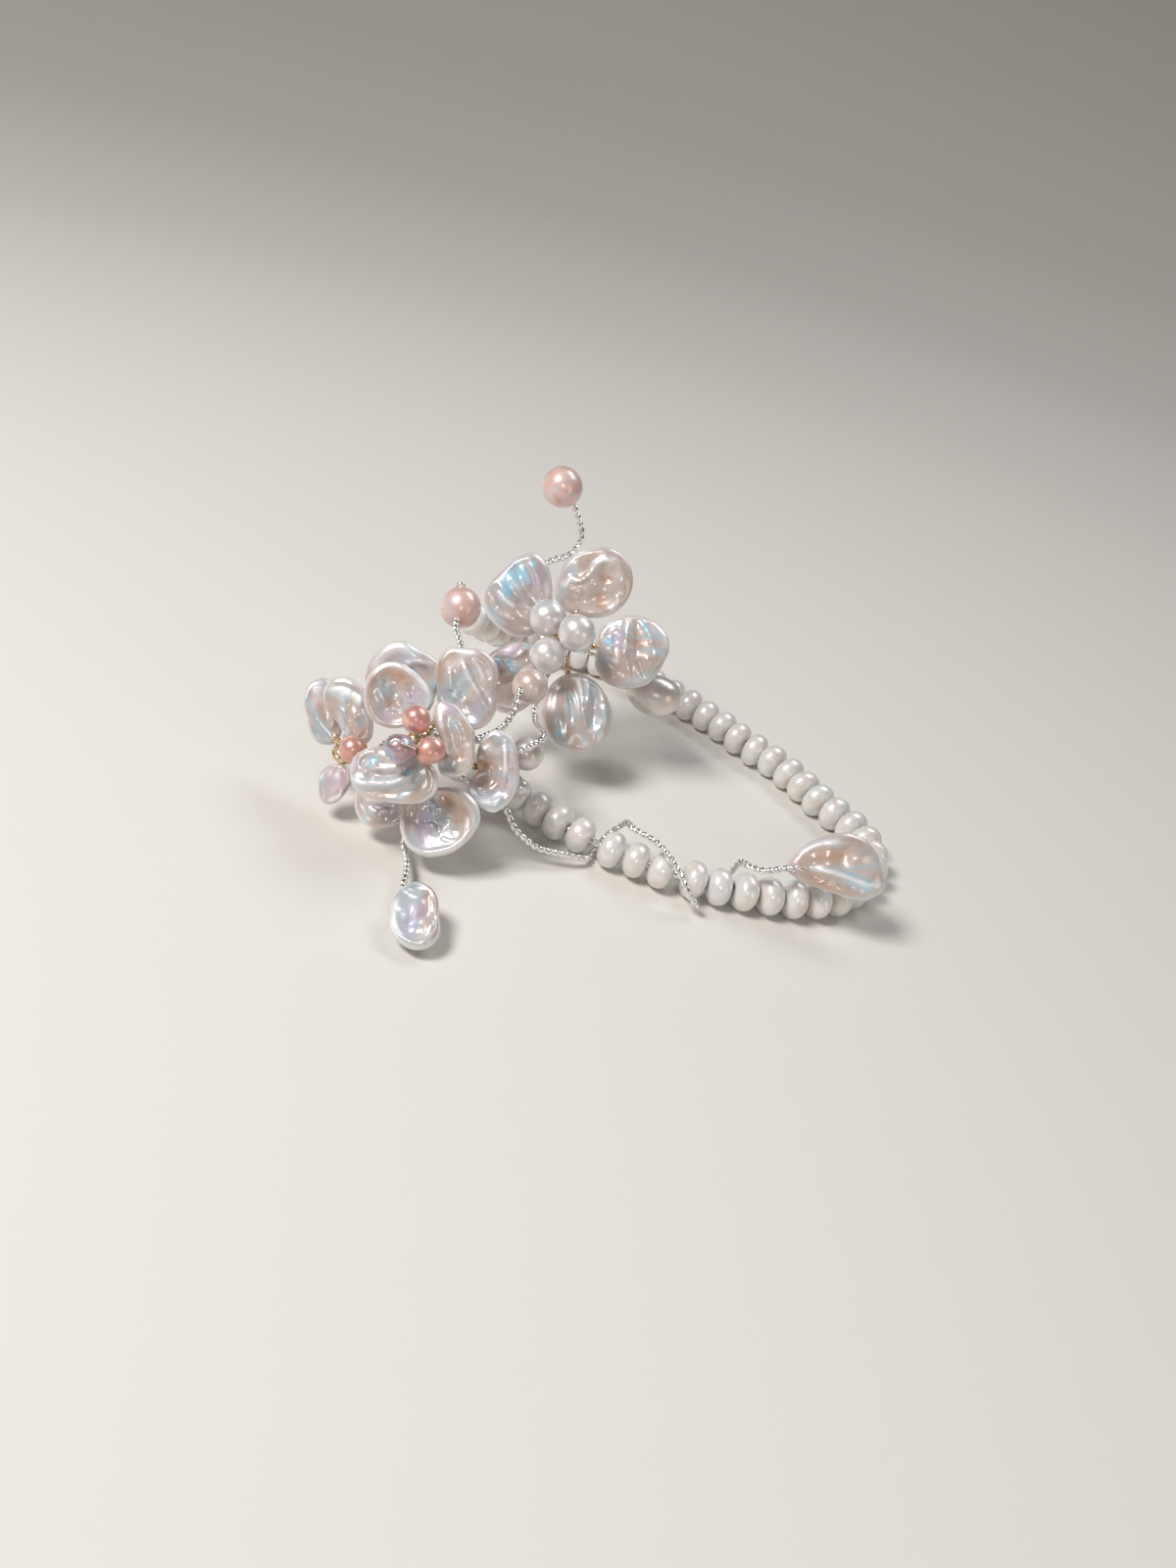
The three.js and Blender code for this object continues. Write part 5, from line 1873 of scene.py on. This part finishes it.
@dataclass
class SprayWire:
    """All the spray's wires: stems, hub wraps, spokes, the glint over a stamen and a pearl's loop.

    Attributes:
        plain: The single wire.
        twist: The wire of two strands.
        first_seed: The first flower's seed; the others follow it.
        loop_sides: Points in the pearl's loop.
        loop_lean: How much of the loop goes up and how much goes out.
    """

    plain: PlainWire
    twist: TwistedWire
    first_seed: int = 4
    loop_sides: int = 28
    loop_lean: tuple[float, float] = (0.6, 0.8)

    def loop(self) -> np.ndarray:
        """The loop on top of the left pink pearl.

        Returns:
            Its places in row-frame millimetres, one a row.
        """
        turns = np.linspace(0, 2 * math.pi, self.loop_sides, endpoint=False)[:, None]
        top = np.array(PINK_LEFT_PLACE) + SHIFT + UP * LOOP_RISE
        lean = UP * self.loop_lean[0] + OUT * self.loop_lean[1]
        return top + LOOP_RADIUS * (np.cos(turns) * RIGHT + np.sin(turns) * lean)

    def build(self, silver: bpy.types.Material, hub_reflection: bpy.types.Material) -> bpy.types.Object:
        """Make the wires and join them.

        Args:
            silver: The stems' material.
            hub_reflection: The hub wraps' and spokes' material.

        Returns:
            The wires as one piece.
        """
        parts = [self.twist.build(name, route, silver) for name, route in STEM_ROUTES.items()]
        for index, flower in enumerate(HUBS):
            parts.extend(HubWraps(flower, seed=self.first_seed + index).build(self.plain, self.twist, hub_reflection))
        glint = smooth_route(np.array([route_point(point) for point in GLINT_ROUTE]), WIRE_STEP)
        parts.append(self.plain.build("stamen_glint", glint, silver, radius=FINE_RADIUS))
        parts.append(self.plain.build("pearl_loop", self.loop(), silver, closed=True, radius=FINE_RADIUS))
        return join_objects("look_spray_wire", parts)


@dataclass(frozen=True)
class Lamp:
    """A soft rectangular light, its place, width and height in millimetres."""

    name: str
    place: tuple[float, float, float]
    size: tuple[float, float]
    watts: float
    color: tuple[float, float, float]


LAMPS = (
    Lamp("key", (-200, -130, 300), (120, 100), 1.15, (1.0, 0.99, 0.98)),
    Lamp("front", (40, -330, 200), (60, 60), 0.12, (0.96, 0.98, 1.0)),
    Lamp("top", (140, 220, 380), (300, 160), 0.6, (0.94, 0.97, 1.0)),
    Lamp("fill", (300, -220, 120), (120, 160), 0.1, (1.0, 0.88, 0.76)),
)
LAMP_AIM = (-5, -5, 8)
# The floor's bowl from its middle outwards: radius and height in millimetres.
FLOOR_PROFILE = (
    (1, 0), (60, 0), (150, 0), (260, 0), (380, 10), (480, 40), (560, 100), (620, 190), (660, 310), (680, 460),
)


@dataclass
class Studio:
    """The plain pale floor, the soft lights and the camera.

    Attributes:
        floor_color: The floor's colour.
        floor_roughness: How matt the floor is.
        floor_sides: Sides of the floor's round.
        world_color: The colour of the light from all round.
        world_strength: Its strength.
        eye: Where the camera is, in design millimetres.
        lens: The camera's focal length, in millimetres.
        sensor: The camera's sensor width, in millimetres.
        nearest: The nearest thing the camera sees, in metres.
    """

    floor_color: tuple[float, float, float] = (0.76, 0.73, 0.68)
    floor_roughness: float = 0.75
    floor_sides: int = 96
    world_color: tuple[float, float, float] = (0.86, 0.86, 0.88)
    world_strength: float = 0.1
    eye: tuple[float, float, float] = (-5.0, -120.0, 72.994)
    lens: float = 27
    sensor: float = 36
    nearest: float = 0.005

    def floor(self) -> None:
        """A wide pale floor that rises into a bowl far away."""
        sides = self.floor_sides
        turns = np.arange(sides) / sides * 2 * math.pi
        places = [
            (radius * math.cos(turn) * MM, radius * math.sin(turn) * MM, height * MM)
            for radius, height in FLOOR_PROFILE for turn in turns
        ]
        faces = [tuple(reversed(range(sides)))]
        for ring in range(len(FLOOR_PROFILE) - 1):
            for side in range(sides):
                a, b = ring * sides + side, ring * sides + (side + 1) % sides
                faces.append((a, b, b + sides, a + sides))
        mesh = bpy.data.meshes.new("floor")
        mesh.from_pydata(places, [], faces)
        mesh.flip_normals()
        made = link_object("floor", mesh)
        material = bpy.data.materials.new("floor")
        material.use_nodes = True
        shader = material.node_tree.nodes["Principled BSDF"]
        shader.inputs["Base Color"].default_value = rgba(self.floor_color)
        shader.inputs["Roughness"].default_value = self.floor_roughness
        mesh.materials.append(material)
        made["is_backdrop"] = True

    def light(self, lamp: Lamp) -> None:
        """Hang an area light that is aimed at the bracelet.

        Args:
            lamp: What the light is like.
        """
        data = bpy.data.lights.new(lamp.name, "AREA")
        data.shape = "RECTANGLE"
        data.size, data.size_y = lamp.size[0] * MM, lamp.size[1] * MM
        data.energy = lamp.watts
        data.color = lamp.color
        made = bpy.data.objects.new(lamp.name, data)
        bpy.context.scene.collection.objects.link(made)
        made.location = Vector(lamp.place) * MM
        aim = Vector(LAMP_AIM) * MM - made.location
        made.rotation_euler = aim.to_track_quat("-Z", "Y").to_euler()

    def camera(self) -> None:
        """The camera at the photograph's place and angle."""
        lens = bpy.data.cameras.new("camera")
        lens.sensor_width = self.sensor
        lens.lens = self.lens
        lens.clip_start = self.nearest
        made = bpy.data.objects.new("camera", lens)
        bpy.context.scene.collection.objects.link(made)
        axes = Matrix((RIGHT, UP, OUT)).transposed().to_4x4()
        place = (np.array(self.eye) + SHIFT * (1, 1, 0)) * MM
        made.matrix_world = Matrix.Translation(Vector(place)) @ axes
        bpy.context.scene.camera = made

    def build(self) -> None:
        """Set up the whole studio."""
        self.floor()
        for lamp in LAMPS:
            self.light(lamp)
        world = bpy.data.worlds.new("studio")
        world.use_nodes = True
        glow = world.node_tree.nodes["Background"].inputs
        glow["Color"].default_value = rgba(self.world_color)
        glow["Strength"].default_value = self.world_strength
        bpy.context.scene.world = world
        bpy.context.scene.view_settings.view_transform = "Standard"
        self.camera()


def hold_in_box(mesh: bpy.types.Mesh) -> None:
    """Bring what stands a hair outside the CAD's box back to the box.

    Args:
        mesh: The mesh, its vertices in metres.
    """
    places = np.empty(len(mesh.vertices) * 3)
    mesh.vertices.foreach_get("co", places)
    held = np.clip(places.reshape(-1, 3), *np.array(CAD_BOUNDS))
    mesh.vertices.foreach_set("co", held.ravel())
    mesh.update()


def settle(piece: bpy.types.Object, finish: Finish, *nodes: str) -> None:
    """Hold a piece in the box, let it ride on the body and stand for its nodes.

    Args:
        piece: The finished piece.
        finish: Its finish; not used.
        *nodes: The CAD nodes it stands for.
    """
    hold_in_box(piece.data)
    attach(piece, "root")
    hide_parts(*nodes)
    LOG.info("%s: %d triangles", piece.name, len(piece.data.loops) - 2 * len(piece.data.polygons))


def write_sizes() -> None:
    """Log the CAD's and the looks' corners, in metres."""
    rows = [[round(value, 5) for value in corner] for corner in (*CAD_BOUNDS, *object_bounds())]
    names = ("cad_low", "cad_high", "look_low", "look_high")
    for name, row in zip(names, rows):
        LOG.info("%s %s", name, row)


def main() -> None:
    """Build every piece in order, then the studio."""
    logging.basicConfig(level=logging.INFO, format="%(name)s: %(message)s")
    group = nacre_group()
    nacres = {
        nacre.name: nacre.material(group)
        for nacre in (BUTTON, PETAL, WHITE, CREAM, CORAL, MAUVE, PINK, BLUSH)
    }
    silver = SILVER.material()
    # The wraps and spokes take a painted golden-brown reflection of the petals.
    hub_reflection = HUB_REFLECTION_METAL.material()
    band = BeadBand()
    beads = band.build(nacres[BUTTON.name])
    plain = PlainWire()
    core = plain.build("core_wire", band.route()[::CORE_THINNING], silver, radius=CORE_RADIUS)
    settle(beads, Finish.BUTTON, "bead_band")
    settle(core, Finish.SILVER, "bead_band")
    for petal in PETALS:
        piece = petal.build()
        piece.data.materials.append(nacres[PETAL.name])
        settle(piece, Finish.PETAL, petal.node)
    for pearl in PEARLS:
        piece = pearl.build()
        piece.data.materials.append(nacres[pearl.nacre.name])
        settle(piece, pearl.nacre.slot, pearl.node)
    twist = TwistedWire()
    settle(SprayWire(plain, twist).build(silver, hub_reflection), Finish.SILVER, "spray_wire")
    vine = TwistedWire(strand=VINE_STRAND, offset=VINE_OFFSET, group=twist.group)
    settle(vine.build("look_vine_wire", VINE_ROUTE, silver), Finish.SILVER, "vine_wire")
    settle(twist.build("look_leaf_wire", LEAF_STEM_ROUTE, silver), Finish.SILVER, "leaf_wire")
    Studio().build()
    write_sizes()


if __name__ == "__main__":
    main()
